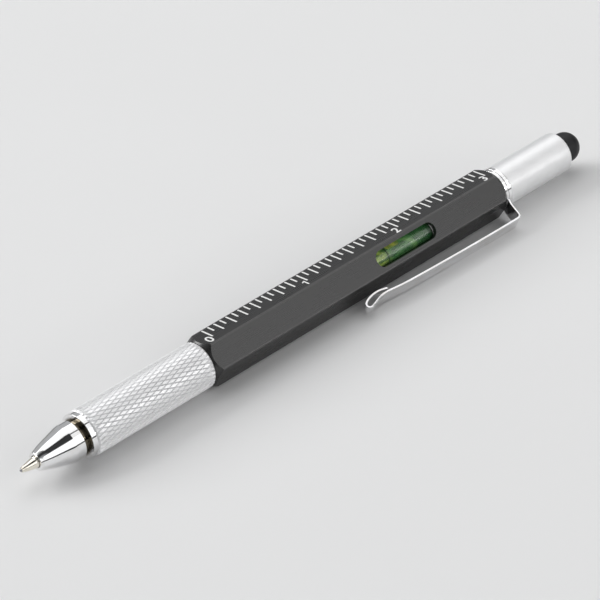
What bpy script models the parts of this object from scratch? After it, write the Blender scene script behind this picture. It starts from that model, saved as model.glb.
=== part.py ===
"""Multi tool pen: hex ruler barrel with a spirit level, twist ballpoint, clip, stylus cap and driver bit.

Every piece is modelled along local X, nib towards -X, with x = 0 at the ruler's zero mark. Turns about the
pen are measured from the level face, which looks along local -Y, towards the ruler face. The empty pen_axis
carries that frame and lays the pen on the table, on one barrel edge and the edge of its clip. Metres.
"""

import math

import bmesh
import bpy
from mathutils import Matrix, Vector

# Clearances and overruns
RUN_GAP = 0.00010  # radial, where one piece turns or slides in another
SEAT_GAP = 0.00005  # where two pieces are fixed together
CUT_OVER = 0.0010  # how far a cutter passes the skin it cuts
WELD = 0.000001

# Round pieces: sides of a full turn
SIDES_OUTER = 40
SIDES_INNER = 24

# Hexagonal barrel
FLAT_WIDTH = 0.0097
BARREL_LENGTH = 0.08165
BARREL_BORE_R = 0.0040
BARREL_EDGE_R = 0.0003
BARREL_END_R = 0.00462
BARREL_CHAMFER = 0.0014
RULER_INSET = 0.00355  # ruler zero from the barrel's nose end

# Level: the window in the barrel and the vial behind it
WINDOW_LENGTH = 0.0166
WINDOW_WIDTH = 0.0036
WINDOW_SHIFT = 0.00025  # towards the tail, from the middle of the room that the twist and the bit leave
VIAL_LIP = 0.0003  # vial radius beyond half the window
VIAL_OVERLAP = 0.0009  # vial length beyond the window, each end
VIAL_WALL = 0.00035
VIAL_PLUG = 0.0012
CRADLE_END = 0.0003  # cradle length beyond the vial, each end
BUBBLE_LENGTH = 0.0046
BUBBLE_R = 0.00095
BUBBLE_NOSE = 0.0034  # nose end of the bubble at rest, from the vial's nose end
BUBBLE_TAIL = 0.0032  # tail end of the bubble at its last place, from the vial's tail end

# Knurled grip, its liner and the trim ring in front of it
GRIP_LENGTH = 0.02975
GRIP_R = 0.0049
GRIP_WALL = 0.00085
GRIP_CHAMFER = 0.0003
LINER_JOURNAL = 0.0076  # length of the liner that turns in the barrel
SOCKET_SPARE = 0.0011  # counterbore of the liner beyond the cone's spigot
RING_R = 0.00472
RING_LENGTH = 0.00115
RING_EDGE = 0.0002
NECK_R = 0.0037
NECK_LENGTH = 0.00115

# Nose cone: stations along its outside as shares of its length and of its belt radius
CONE_LENGTH = 0.0092
CONE_BELT_R = 0.0040
CONE_SHARES = (
    (0.0, 0.47),
    (0.02, 0.485),
    (0.2, 0.65),
    (0.42, 0.79),
    (0.62, 0.915),
    (0.7, 0.965),
    (0.78, 1.0),
)
CONE_MOUTH_R = 0.0013
CONE_THROAT = 0.0030  # length of the mouth's bore
CONE_CHAMBER_R = 0.0022
SPIGOT_R = 0.0033
SPIGOT_LENGTH = 0.0106

# Refill, shown written out
NIB_REACH = 0.0038  # ball tip from the cone's mouth
BALL_R = 0.00035
TIP_MOUTH_R = 0.00052
TIP_CHANNEL_R = 0.0002
TIP_LENGTH = 0.0086
TIP_SHOULDER_SHARE = 0.52  # of the tip's length, where it reaches the refill's radius
TIP_STEM = 0.0040
REFILL_R = 0.001175
REFILL_WALL = 0.000225
REFILL_LENGTH = 0.0668
INK_USED = 0.0101  # empty length of the tube behind the ink
STOP_R = 0.00205
STOP_LENGTH = 0.0005

# Return spring
SPRING_WIRE_R = 0.00016
SPRING_R = 0.0018
SPRING_LENGTH = 0.0115
SPRING_TURNS = 9
SPRING_STEPS = 10  # points a turn

# Twist mechanism
RETRACT_TRAVEL = 0.0052
RETRACT_TURN = math.radians(180.0)
GUIDE_R = 0.00265
GUIDE_WALL = 0.0005
GUIDE_HOLD = 0.0045  # length of the guide inside the liner's bore
CARRIER_LENGTH = 0.0085
CARRIER_GRASP = 0.0035  # how far the refill's tail sits in the carrier
PIN_R = 0.00045
PIN_BACK = 0.0020  # pin centre from the carrier's tail face
SLOT_GAP = 0.0002  # from the pin to each side of its slots
CAM_WALL = 0.0007
CAM_LAND = 0.0030
CAM_GAP = 0.0002  # liner to cam, end to end
CAM_BACK = 0.0047  # cam beyond the pin's last place
RETAINER_R = 0.0036
RETAINER_LENGTH = 0.0007
GUIDE_TAIL = 0.0003  # guide beyond its retainer
PIN_TURN = math.radians(90.0)  # of the pin about the pen, at rest

# Clip
CLIP_WIDTH = 0.0034
CLIP_SHEET = 0.0004
CLIP_RING_R = 0.0046
CLIP_RING_LENGTH = 0.0008
CLIP_LENGTH = 0.0454  # ring to tip, along the pen
CLIP_REACH = 0.00904  # middle of the sheet at its furthest, from the pen's axis
CLIP_STEPS = 5  # straight runs in each span of the route
# Shares of the length, from the ring, and of the rise from the ring's rim to the reach
CLIP_SHARES = (
    (0.0, 0.25),
    (0.0, 0.72),
    (0.026, 0.94),
    (0.1, 1.0),
    (0.36, 0.935),
    (0.62, 0.855),
    (0.8, 0.79),
    (0.845, 0.765),
    (0.91, 0.815),
    (0.975, 0.915),
    (1.0, 0.84),
    (0.99, 0.69),
    (0.955, 0.575),
    (0.9, 0.54),
    (0.85, 0.61),
)

# Driver bit and the holder at the barrel's tail
HOLDER_FLANGE_R = 0.0046
HOLDER_FLANGE = 0.0009
THREAD_R = 0.0033
THREAD_LENGTH = 0.0060
THREAD_LEAD_IN = 0.0004
BIT_FLAT_WIDTH = 0.0040
BIT_LENGTH = 0.0270
BIT_END_GAP = 0.0011  # bit to the plate at the cap's end
BIT_NECK = 0.0045
BIT_NECK_R = 0.00155
BIT_TIP_R = 0.0007
BIT_BLADE = 0.0005  # thickness of the flat blade
BIT_CROSS = 0.0005  # thickness of the cross's wings
MAGNET_LENGTH = 0.0019

# Cap with the touch stylus
CAP_LENGTH = 0.01835
CAP_R = 0.00447
CAP_WALL = 0.00062
CAP_END_WALL = 0.0012
CAP_SHOULDER = 0.0007
CAP_SHOULDER_SHARE = 0.3  # of the shoulder, the drop at its first edge
CAP_RIM = 0.0002
LINER_START = 0.0003  # cap liner from the cap's rim
CAP_LINER_LENGTH = 0.0068
STEM_R = 0.0019
STYLUS_PLATE = 0.0011
STYLUS_NOSE_R = 0.0022
STYLUS_NOSE = 0.0021
STYLUS_R = 0.0033
STYLUS_SKIRT = 0.0022
STYLUS_DOME = 0.0033
STYLUS_WALL = 0.0010

# Stations along the pen, worked out from the sizes above
BARREL_FRONT = -RULER_INSET
BARREL_BACK = BARREL_FRONT + BARREL_LENGTH
GRIP_BACK = BARREL_FRONT - RUN_GAP
GRIP_FRONT = GRIP_BACK - GRIP_LENGTH
RING_FRONT = GRIP_FRONT - SEAT_GAP - RING_LENGTH
NECK_FRONT = RING_FRONT - NECK_LENGTH
CONE_BACK = NECK_FRONT - SEAT_GAP
CONE_FRONT = CONE_BACK - CONE_LENGTH
NIB_TIP = CONE_FRONT - NIB_REACH
TIP_FRONT = NIB_TIP + BALL_R
REFILL_FRONT = TIP_FRONT + TIP_LENGTH + SEAT_GAP
REFILL_BACK = TIP_FRONT + REFILL_LENGTH
SPIGOT_BACK = CONE_BACK + SPIGOT_LENGTH
SOCKET_BACK = SPIGOT_BACK + SOCKET_SPARE
CHAMBER_FRONT = CONE_FRONT + CONE_THROAT
SPRING_FRONT = CHAMBER_FRONT + SPRING_WIRE_R + SEAT_GAP
SPRING_BACK = SPRING_FRONT + SPRING_LENGTH
STOP_FRONT = SPRING_BACK + SPRING_WIRE_R + SEAT_GAP
LINER_BACK = BARREL_FRONT + LINER_JOURNAL
GUIDE_FRONT = LINER_BACK - GUIDE_HOLD
CARRIER_FRONT = REFILL_BACK - CARRIER_GRASP
CARRIER_BACK = CARRIER_FRONT + CARRIER_LENGTH
PIN_X = CARRIER_BACK - PIN_BACK
CAM_FRONT = LINER_BACK + CAM_GAP
CAM_END = PIN_X + RETRACT_TRAVEL + CAM_BACK
RETAINER_FRONT = CAM_END + RUN_GAP
RETAINER_BACK = RETAINER_FRONT + RETAINER_LENGTH
GUIDE_BACK = RETAINER_BACK + GUIDE_TAIL
RING_SEAT = BARREL_BACK + SEAT_GAP
CLIP_RING_BACK = RING_SEAT + CLIP_RING_LENGTH
FLANGE_FRONT = CLIP_RING_BACK + SEAT_GAP
FLANGE_BACK = FLANGE_FRONT + HOLDER_FLANGE
THREAD_BACK = FLANGE_BACK + THREAD_LENGTH
CAP_FRONT = FLANGE_BACK + RUN_GAP
CAP_BACK = CAP_FRONT + CAP_LENGTH
CAP_FLOOR = CAP_BACK - CAP_END_WALL
CAP_LINER_FRONT = CAP_FRONT + LINER_START
PLATE_BACK = CAP_FLOOR - SEAT_GAP
PLATE_FRONT = PLATE_BACK - STYLUS_PLATE
BIT_BACK = PLATE_FRONT - BIT_END_GAP
BIT_FRONT = BIT_BACK - BIT_LENGTH
MAGNET_BACK = BIT_FRONT - SEAT_GAP
HOLDER_FRONT = MAGNET_BACK - MAGNET_LENGTH
DOME_FRONT = CAP_BACK + SEAT_GAP
STYLUS_TIP = DOME_FRONT + STYLUS_SKIRT + STYLUS_DOME
WINDOW_CENTRE = (GUIDE_BACK + HOLDER_FRONT) / 2 + WINDOW_SHIFT
VIAL_LENGTH = WINDOW_LENGTH + 2 * VIAL_OVERLAP
VIAL_FRONT = WINDOW_CENTRE - VIAL_LENGTH / 2
VIAL_BACK = WINDOW_CENTRE + VIAL_LENGTH / 2
BUBBLE_START = VIAL_FRONT + BUBBLE_NOSE
BUBBLE_TRAVEL = VIAL_BACK - BUBBLE_TAIL - BUBBLE_LENGTH - BUBBLE_START

# Radii and places across the pen, worked out from the sizes above
FLAT_R = FLAT_WIDTH / 2
CORNER_R = FLAT_R / math.cos(math.pi / 6)
SEAT_R = BARREL_BORE_R - SEAT_GAP
JOURNAL_R = BARREL_BORE_R - RUN_GAP
LINER_R = GRIP_R - GRIP_WALL - SEAT_GAP
SOCKET_R = SPIGOT_R + SEAT_GAP
GUIDE_BORE_R = GUIDE_R - GUIDE_WALL
CARRIER_R = GUIDE_BORE_R - RUN_GAP
CAM_BORE_R = GUIDE_R + RUN_GAP
CAM_R = CAM_BORE_R + CAM_WALL
REFILL_BORE_R = REFILL_R - REFILL_WALL
SLOT_R = PIN_R + SLOT_GAP
PIN_END_R = CAM_R - SEAT_GAP
VIAL_R = WINDOW_WIDTH / 2 + VIAL_LIP
VIAL_BORE_R = VIAL_R - VIAL_WALL
VIAL_OFFSET = SEAT_R - VIAL_R - SEAT_GAP
LIQUID_R = VIAL_BORE_R - SEAT_GAP
HEX_HOLE_WIDTH = BIT_FLAT_WIDTH + 2 * SEAT_GAP
CAP_BORE_R = CAP_R - CAP_WALL
CAP_LINER_R = CAP_BORE_R - SEAT_GAP
CAP_LINER_BORE_R = THREAD_R + RUN_GAP
LEVEL_TURN = 0.0
CLIP_TURN = math.radians(-60.0)
TABLE_EDGE_TURN = math.radians(-150.0)

COLOURS = {
    # name: (colour, roughness, metallic)
    "black_anodised": ((0.035, 0.035, 0.037, 1.0), 0.38, 0.5),
    "knurled_aluminium": ((0.80, 0.80, 0.81, 1.0), 0.32, 1.0),
    "satin_aluminium": ((0.78, 0.78, 0.79, 1.0), 0.42, 1.0),
    "polished_chrome": ((0.86, 0.86, 0.87, 1.0), 0.08, 1.0),
    "turned_brass": ((0.72, 0.56, 0.28, 1.0), 0.3, 1.0),
    "nickel_silver": ((0.74, 0.71, 0.62, 1.0), 0.25, 1.0),
    "carbide": ((0.35, 0.35, 0.37, 1.0), 0.15, 1.0),
    "blue_ink": ((0.02, 0.03, 0.20, 1.0), 0.3, 0.0),
    "spring_steel": ((0.60, 0.60, 0.62, 1.0), 0.3, 1.0),
    "tool_steel": ((0.42, 0.42, 0.44, 1.0), 0.35, 1.0),
    "white_acetal": ((0.85, 0.85, 0.82, 1.0), 0.5, 0.0),
    "black_plastic": ((0.03, 0.03, 0.03, 1.0), 0.5, 0.0),
    "clear_acrylic": ((0.80, 0.90, 0.78, 1.0), 0.08, 0.0),
    "green_liquid": ((0.10, 0.42, 0.14, 1.0), 0.1, 0.0),
    "air_bubble": ((0.72, 0.78, 0.35, 1.0), 0.1, 0.0),
    "black_rubber": ((0.02, 0.02, 0.022, 1.0), 0.7, 0.0),
    "magnet": ((0.55, 0.55, 0.57, 1.0), 0.3, 1.0),
}


def clear_scene():
    for obj in list(bpy.data.objects):
        bpy.data.objects.remove(obj)


def new_collection(name):
    collection = bpy.data.collections.new(name)
    bpy.context.scene.collection.children.link(collection)
    return collection


def material(name):
    """The named finish, made the first time it is asked for."""
    found = bpy.data.materials.get(name)
    if found:
        return found
    colour, roughness, metallic = COLOURS[name]
    made = bpy.data.materials.new(name)
    made.use_nodes = True
    shader = made.node_tree.nodes["Principled BSDF"]
    shader.inputs["Base Color"].default_value = colour
    shader.inputs["Roughness"].default_value = roughness
    shader.inputs["Metallic"].default_value = metallic
    made.diffuse_color = colour
    return made


def place(name, data, finish=None):
    """A piece in the pen's frame, or a hidden cutter where no finish is given."""
    obj = bpy.data.objects.new(name, data)
    obj.parent = pen_axis
    if finish:
        parts.objects.link(obj)
        data.materials.append(material(finish))
    else:
        cutters.objects.link(obj)
        obj.hide_render = True
        obj.display_type = "WIRE"
    return obj


def mesh_from(bm, name):
    bmesh.ops.recalc_face_normals(bm, faces=bm.faces)
    mesh = bpy.data.meshes.new(name)
    bm.to_mesh(mesh)
    bm.free()
    return mesh


def turned(name, outline, finish=None, sides=SIDES_INNER, closed=True):
    """A lathe-turned piece. The outline is (x, radius) points, a loop, or open with both ends on the axis."""
    area = sum(a[0] * b[1] - b[0] * a[1] for a, b in zip(outline, outline[1:] + outline[:1]))
    points = outline if area > 0 else outline[::-1]
    bm = bmesh.new()
    verts = [bm.verts.new((x, r, 0.0)) for x, r in points]
    for start, end in zip(verts, verts[1:] + (verts[:1] if closed else [])):
        bm.edges.new((start, end))
    mesh = bpy.data.meshes.new(name)
    bm.to_mesh(mesh)
    bm.free()
    obj = place(name, mesh, finish)
    screw = obj.modifiers.new("Turn", "SCREW")
    screw.axis = "X"
    screw.angle = 2 * math.pi
    screw.steps = screw.render_steps = sides
    screw.use_merge_vertices = True
    screw.merge_threshold = WELD
    screw.use_smooth_shade = True
    return obj


def tube(name, front, back, outer, inner, finish=None, sides=SIDES_INNER):
    return turned(name, [(front, outer), (back, outer), (back, inner), (front, inner)], finish, sides)


def rod(name, front, back, radius, finish=None, sides=SIDES_INNER):
    outline = [(front, 0.0), (front, radius), (back, radius), (back, 0.0)]
    return turned(name, outline, finish, sides, closed=False)


def spun_profile(name, outline, finish=None, sides=SIDES_INNER):
    return turned(name, outline, finish, sides, closed=False)


def across(turn, radius, side=0.0):
    """(y, z) at a radius and a sideways offset in the direction of a turn from the level face."""
    out = Vector((-math.cos(turn), math.sin(turn)))
    along = Vector((math.sin(turn), math.cos(turn)))
    return out * radius + along * side


def hex_prism(name, front, back, flat_width, finish=None, edge_r=0.0):
    """A hexagonal bar along X with a flat towards the level face."""
    bm = bmesh.new()
    radius = flat_width / 2 / math.cos(math.pi / 6)
    bmesh.ops.create_cone(
        bm, cap_ends=True, segments=6, radius1=radius, radius2=radius, depth=back - front
    )
    lie_down = Matrix.Rotation(math.pi / 6, 3, "X") @ Matrix.Rotation(math.pi / 2, 3, "Y")
    bmesh.ops.rotate(bm, verts=bm.verts, matrix=lie_down)
    bmesh.ops.translate(bm, verts=bm.verts, vec=((front + back) / 2, 0.0, 0.0))
    if edge_r:
        long_edges = [e for e in bm.edges if abs(e.verts[0].co.x - e.verts[1].co.x) > edge_r]
        inset = edge_r * math.tan(math.pi / 6)
        bmesh.ops.bevel(bm, geom=long_edges, offset=inset, segments=2, profile=0.5, affect="EDGES")
    return place(name, mesh_from(bm, name), finish)


def slot_cutter(name, length, width, centre, turn, low, high):
    """A round-ended bar that stands on the pen's axis, from the low to the high radius."""
    bm = bmesh.new()
    reach = (length - width) / 2
    for end in (-reach, reach):
        for level in (low, high):
            place_at = Matrix.Translation((end, 0.0, level))
            bmesh.ops.create_circle(bm, segments=SIDES_INNER, radius=width / 2, matrix=place_at)
    bmesh.ops.convex_hull(bm, input=bm.verts)
    loose = [v for v in bm.verts if not v.link_faces]
    bmesh.ops.delete(bm, geom=loose, context="VERTS")
    out_y, out_z = across(turn, 1.0)
    aim = Vector((0.0, 0.0, 1.0)).rotation_difference(Vector((0.0, out_y, out_z))).to_matrix()
    bmesh.ops.rotate(bm, verts=bm.verts, matrix=aim)
    bmesh.ops.translate(bm, verts=bm.verts, vec=(centre, 0.0, 0.0))
    return place(name, mesh_from(bm, name))


def box_cutter(name, size, centre, roll):
    """A box, rolled about the pen's axis after it is moved to its centre."""
    bm = bmesh.new()
    bmesh.ops.create_cube(bm, size=1.0)
    bmesh.ops.scale(bm, verts=bm.verts, vec=size)
    bmesh.ops.translate(bm, verts=bm.verts, vec=centre)
    bmesh.ops.rotate(bm, verts=bm.verts, matrix=Matrix.Rotation(roll, 3, "X"))
    return place(name, mesh_from(bm, name))


def wire(name, points, radius, resolution, finish=None):
    """A round wire through the points, as a mesh with welded caps."""
    curve = bpy.data.curves.new(name + "_path", "CURVE")
    curve.dimensions = "3D"
    curve.bevel_depth = radius
    curve.bevel_resolution = resolution
    curve.use_fill_caps = True
    spline = curve.splines.new("POLY")
    spline.points.add(len(points) - 1)
    for target, point in zip(spline.points, points):
        target.co = (*point, 1.0)
    guide = bpy.data.objects.new(name + "_path", curve)
    cutters.objects.link(guide)
    graph = bpy.context.evaluated_depsgraph_get()
    mesh = bpy.data.meshes.new_from_object(guide.evaluated_get(graph))
    bpy.data.objects.remove(guide)
    bm = bmesh.new()
    bm.from_mesh(mesh)
    bmesh.ops.remove_doubles(bm, verts=bm.verts, dist=WELD)
    bpy.data.meshes.remove(mesh)
    return place(name, mesh_from(bm, name), finish)


def boolean(obj, other, operation="DIFFERENCE"):
    modifier = obj.modifiers.new(other.name, "BOOLEAN")
    modifier.operation = operation
    modifier.solver = "EXACT"
    modifier.object = other
    return obj


def helix(start, end, radius, first_turn, last_turn, steps):
    """Points from start to end along X while they turn about it."""
    points = []
    for step in range(steps + 1):
        share = step / steps
        turn = first_turn + (last_turn - first_turn) * share
        y, z = across(turn, radius)
        points.append((start + (end - start) * share, y, z))
    return points


def smooth_route(points, steps):
    """A curve through the points, with each span cut into equal steps."""
    ends = [points[0], *points, points[-1]]
    route = []
    for p0, p1, p2, p3 in zip(ends, ends[1:], ends[2:], ends[3:]):
        for step in range(steps):
            t = step / steps
            blend = (
                2 * p1
                + (p2 - p0) * t
                + (2 * p0 - 5 * p1 + 4 * p2 - p3) * t**2
                + (3 * p1 - p0 - 3 * p2 + p3) * t**3
            )
            route.append(blend / 2)
    route.append(points[-1])
    return route


def rest_pose():
    """How the pen lies on the table: its tilt about X, and where its axis is above the origin."""
    edge_centre_r = CORNER_R - BARREL_EDGE_R / math.cos(math.pi / 6)
    edge = across(TABLE_EDGE_TURN, edge_centre_r)
    top = CLIP_REACH + CLIP_SHEET / 2
    clip_corners = [across(CLIP_TURN, top, side * CLIP_WIDTH / 2) for side in (-1, 1)]
    clip = min(clip_corners, key=lambda corner: corner.y)
    span = edge - clip
    tilt = math.asin(BARREL_EDGE_R / span.length) - math.atan2(span.y, span.x)
    spin = Matrix.Rotation(tilt, 2)
    rim = [spin @ across(TABLE_EDGE_TURN + step * math.pi / 3, edge_centre_r) for step in range(6)]
    far = [point.x + side * BARREL_EDGE_R for point in rim for side in (-1, 1)]
    far += [(spin @ corner).x for corner in clip_corners]
    height = BARREL_EDGE_R - (spin @ edge).y
    return tilt, Vector((-(NIB_TIP + STYLUS_TIP) / 2, -(min(far) + max(far)) / 2, height))


def make_axis():
    tilt, location = rest_pose()
    axis = bpy.data.objects.new("pen_axis", None)
    axis.location = location
    axis.rotation_euler = (tilt, 0.0, 0.0)
    parts.objects.link(axis)
    return axis


def make_barrel():
    barrel = hex_prism(
        "hex_barrel", BARREL_FRONT, BARREL_BACK, FLAT_WIDTH, "black_anodised", BARREL_EDGE_R
    )
    reach = CORNER_R + CUT_OVER
    slope = (CORNER_R - BARREL_END_R) / BARREL_CHAMFER
    run = BARREL_CHAMFER + CUT_OVER / slope
    ends = spun_profile(
        "barrel_ends",
        [
            (BARREL_FRONT - CUT_OVER, 0.0),
            (BARREL_FRONT - CUT_OVER, BARREL_END_R - CUT_OVER * slope),
            (BARREL_FRONT + run, reach),
            (BARREL_BACK - run, reach),
            (BARREL_BACK + CUT_OVER, BARREL_END_R - CUT_OVER * slope),
            (BARREL_BACK + CUT_OVER, 0.0),
        ],
        sides=SIDES_OUTER,
    )
    boolean(barrel, ends, "INTERSECT")
    bore_front, bore_back = BARREL_FRONT - CUT_OVER, BARREL_BACK + CUT_OVER
    boolean(barrel, rod("barrel_bore", bore_front, bore_back, BARREL_BORE_R, sides=SIDES_OUTER))
    low, high = BARREL_BORE_R - WINDOW_WIDTH / 2, FLAT_R + CUT_OVER
    window = slot_cutter(
        "level_window", WINDOW_LENGTH, WINDOW_WIDTH, WINDOW_CENTRE, LEVEL_TURN, low, high
    )
    boolean(barrel, window)


def make_grip():
    turned(
        "grip_sleeve",
        [
            (GRIP_FRONT, GRIP_R - GRIP_CHAMFER),
            (GRIP_FRONT + GRIP_CHAMFER, GRIP_R),
            (GRIP_BACK - GRIP_CHAMFER, GRIP_R),
            (GRIP_BACK, GRIP_R - GRIP_CHAMFER),
            (GRIP_BACK, GRIP_R - GRIP_WALL),
            (GRIP_FRONT, GRIP_R - GRIP_WALL),
        ],
        "knurled_aluminium",
        SIDES_OUTER,
    )
    bore = GUIDE_R + SEAT_GAP
    turned(
        "grip_liner",
        [
            (GRIP_FRONT, LINER_R),
            (GRIP_BACK, LINER_R),
            (GRIP_BACK, JOURNAL_R),
            (LINER_BACK, JOURNAL_R),
            (LINER_BACK, bore),
            (SOCKET_BACK, bore),
            (SOCKET_BACK, SOCKET_R),
            (GRIP_FRONT, SOCKET_R),
        ],
        "turned_brass",
        SIDES_OUTER,
    )
    turned(
        "front_ring",
        [
            (NECK_FRONT, NECK_R),
            (RING_FRONT, NECK_R),
            (RING_FRONT, RING_R - RING_EDGE),
            (RING_FRONT + RING_EDGE, RING_R),
            (GRIP_FRONT - SEAT_GAP - RING_EDGE, RING_R),
            (GRIP_FRONT - SEAT_GAP, RING_R - RING_EDGE),
            (GRIP_FRONT - SEAT_GAP, SOCKET_R),
            (NECK_FRONT, SOCKET_R),
        ],
        "polished_chrome",
        SIDES_OUTER,
    )


def make_nose_cone():
    outside = [(CONE_FRONT + x * CONE_LENGTH, r * CONE_BELT_R) for x, r in CONE_SHARES]
    inside = [
        (CONE_BACK, CONE_BELT_R),
        (CONE_BACK, SPIGOT_R),
        (SPIGOT_BACK, SPIGOT_R),
        (SPIGOT_BACK, CONE_CHAMBER_R),
        (CHAMBER_FRONT, CONE_CHAMBER_R),
        (CHAMBER_FRONT, CONE_MOUTH_R),
        (CONE_FRONT, CONE_MOUTH_R),
    ]
    turned("nose_cone", outside + inside, "polished_chrome", SIDES_OUTER)


def make_refill():
    shoulder = TIP_FRONT + TIP_SHOULDER_SHARE * TIP_LENGTH
    seat = NIB_TIP + 2 * BALL_R + SEAT_GAP
    stem_r = REFILL_BORE_R - SEAT_GAP
    turned(
        "refill_tip",
        [
            (TIP_FRONT, TIP_MOUTH_R),
            (shoulder, REFILL_R),
            (TIP_FRONT + TIP_LENGTH, REFILL_R),
            (TIP_FRONT + TIP_LENGTH, stem_r),
            (TIP_FRONT + TIP_LENGTH + TIP_STEM, stem_r),
            (TIP_FRONT + TIP_LENGTH + TIP_STEM, TIP_CHANNEL_R),
            (seat, TIP_CHANNEL_R),
            (seat, BALL_R + SEAT_GAP),
            (TIP_FRONT, BALL_R + SEAT_GAP),
        ],
        "nickel_silver",
    )
    half_turn = [math.pi * step / (SIDES_INNER // 2) for step in range(SIDES_INNER // 2 + 1)]
    ball = [(TIP_FRONT - BALL_R * math.cos(a), BALL_R * math.sin(a)) for a in half_turn]
    ball[0], ball[-1] = (NIB_TIP, 0.0), (TIP_FRONT + BALL_R, 0.0)
    spun_profile("writing_ball", ball, "carbide")
    turned(
        "refill_tube",
        [
            (REFILL_FRONT, REFILL_R),
            (STOP_FRONT, REFILL_R),
            (STOP_FRONT, STOP_R),
            (STOP_FRONT + STOP_LENGTH, STOP_R),
            (STOP_FRONT + STOP_LENGTH, REFILL_R),
            (REFILL_BACK, REFILL_R),
            (REFILL_BACK, REFILL_BORE_R),
            (REFILL_FRONT, REFILL_BORE_R),
        ],
        "turned_brass",
    )
    ink_front = TIP_FRONT + TIP_LENGTH + TIP_STEM + SEAT_GAP
    rod("refill_ink", ink_front, REFILL_BACK - INK_USED, stem_r, "blue_ink")


def make_spring():
    turns = 2 * math.pi * SPRING_TURNS
    points = helix(SPRING_FRONT, SPRING_BACK, SPRING_R, 0.0, turns, SPRING_TURNS * SPRING_STEPS)
    wire("return_spring", points, SPRING_WIRE_R, 1, "spring_steel")


def pin_cutter(name, radius, low, high):
    """A round bar across the pen at the pin's place."""
    y0, z0 = across(PIN_TURN, low)
    y1, z1 = across(PIN_TURN, high)
    return wire(name, [(PIN_X, y0, z0), (PIN_X, y1, z1)], radius, 3)


def make_twist():
    slot_end = PIN_X + RETRACT_TRAVEL
    guide = tube("twist_guide", GUIDE_FRONT, GUIDE_BACK, GUIDE_R, GUIDE_BORE_R, "turned_brass")
    length = RETRACT_TRAVEL + 2 * SLOT_R
    middle = (PIN_X + slot_end) / 2
    straight = slot_cutter(
        "guide_slot", length, 2 * SLOT_R, middle, PIN_TURN, GUIDE_BORE_R - CUT_OVER, GUIDE_R + CUT_OVER
    )
    boolean(guide, straight)
    cam = turned(
        "twist_cam",
        [
            (CAM_FRONT, SEAT_R),
            (CAM_FRONT + CAM_LAND, SEAT_R),
            (CAM_FRONT + CAM_LAND, CAM_R),
            (CAM_END - CAM_LAND, CAM_R),
            (CAM_END - CAM_LAND, SEAT_R),
            (CAM_END, SEAT_R),
            (CAM_END, CAM_BORE_R),
            (CAM_FRONT, CAM_BORE_R),
        ],
        "white_acetal",
    )
    wall_middle = (CAM_BORE_R + CAM_R) / 2
    over = SLOT_R / math.hypot(RETRACT_TRAVEL, RETRACT_TURN * wall_middle)
    spare = over * RETRACT_TRAVEL
    first_turn = PIN_TURN + over * RETRACT_TURN
    last_turn = PIN_TURN - (1 + over) * RETRACT_TURN
    path = helix(PIN_X - spare, slot_end + spare, wall_middle, first_turn, last_turn, SIDES_INNER)
    boolean(cam, wire("cam_slot", path, SLOT_R, 3))
    retainer_bore = GUIDE_R + SEAT_GAP
    tube("guide_retainer", RETAINER_FRONT, RETAINER_BACK, RETAINER_R, retainer_bore, "spring_steel")
    carrier = spun_profile(
        "refill_carrier",
        [
            (CARRIER_BACK, 0.0),
            (CARRIER_BACK, CARRIER_R),
            (CARRIER_FRONT, CARRIER_R),
            (CARRIER_FRONT, REFILL_R + SEAT_GAP),
            (REFILL_BACK + SEAT_GAP, REFILL_R + SEAT_GAP),
            (REFILL_BACK + SEAT_GAP, 0.0),
        ],
        "white_acetal",
    )
    reach = CARRIER_R + CUT_OVER
    boolean(carrier, pin_cutter("pin_hole", PIN_R + SEAT_GAP, -reach, reach))
    y, z = across(PIN_TURN, 1.0)
    inner, outer = -CARRIER_R + SEAT_GAP, PIN_END_R
    ends = [(PIN_X, y * r, z * r) for r in (inner, outer)]
    wire("carrier_pin", ends, PIN_R, 3, "tool_steel")


def offset_level(obj):
    """Moves a piece from the pen's axis to the vial's."""
    y, z = across(LEVEL_TURN, VIAL_OFFSET)
    obj.location = (0.0, y, z)
    return obj


def capsule(name, front, back, radius, finish=None):
    """A rod with half-round ends."""
    quarter = SIDES_INNER // 4
    turns = [math.pi / 2 * step / quarter for step in range(quarter + 1)]
    nose = [(front + radius * (1 - math.cos(a)), radius * math.sin(a)) for a in turns]
    tail = [(back - radius * (1 - math.cos(a)), radius * math.sin(a)) for a in reversed(turns)]
    nose[0], tail[-1] = (front, 0.0), (back, 0.0)
    return spun_profile(name, nose + tail, finish)


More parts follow.
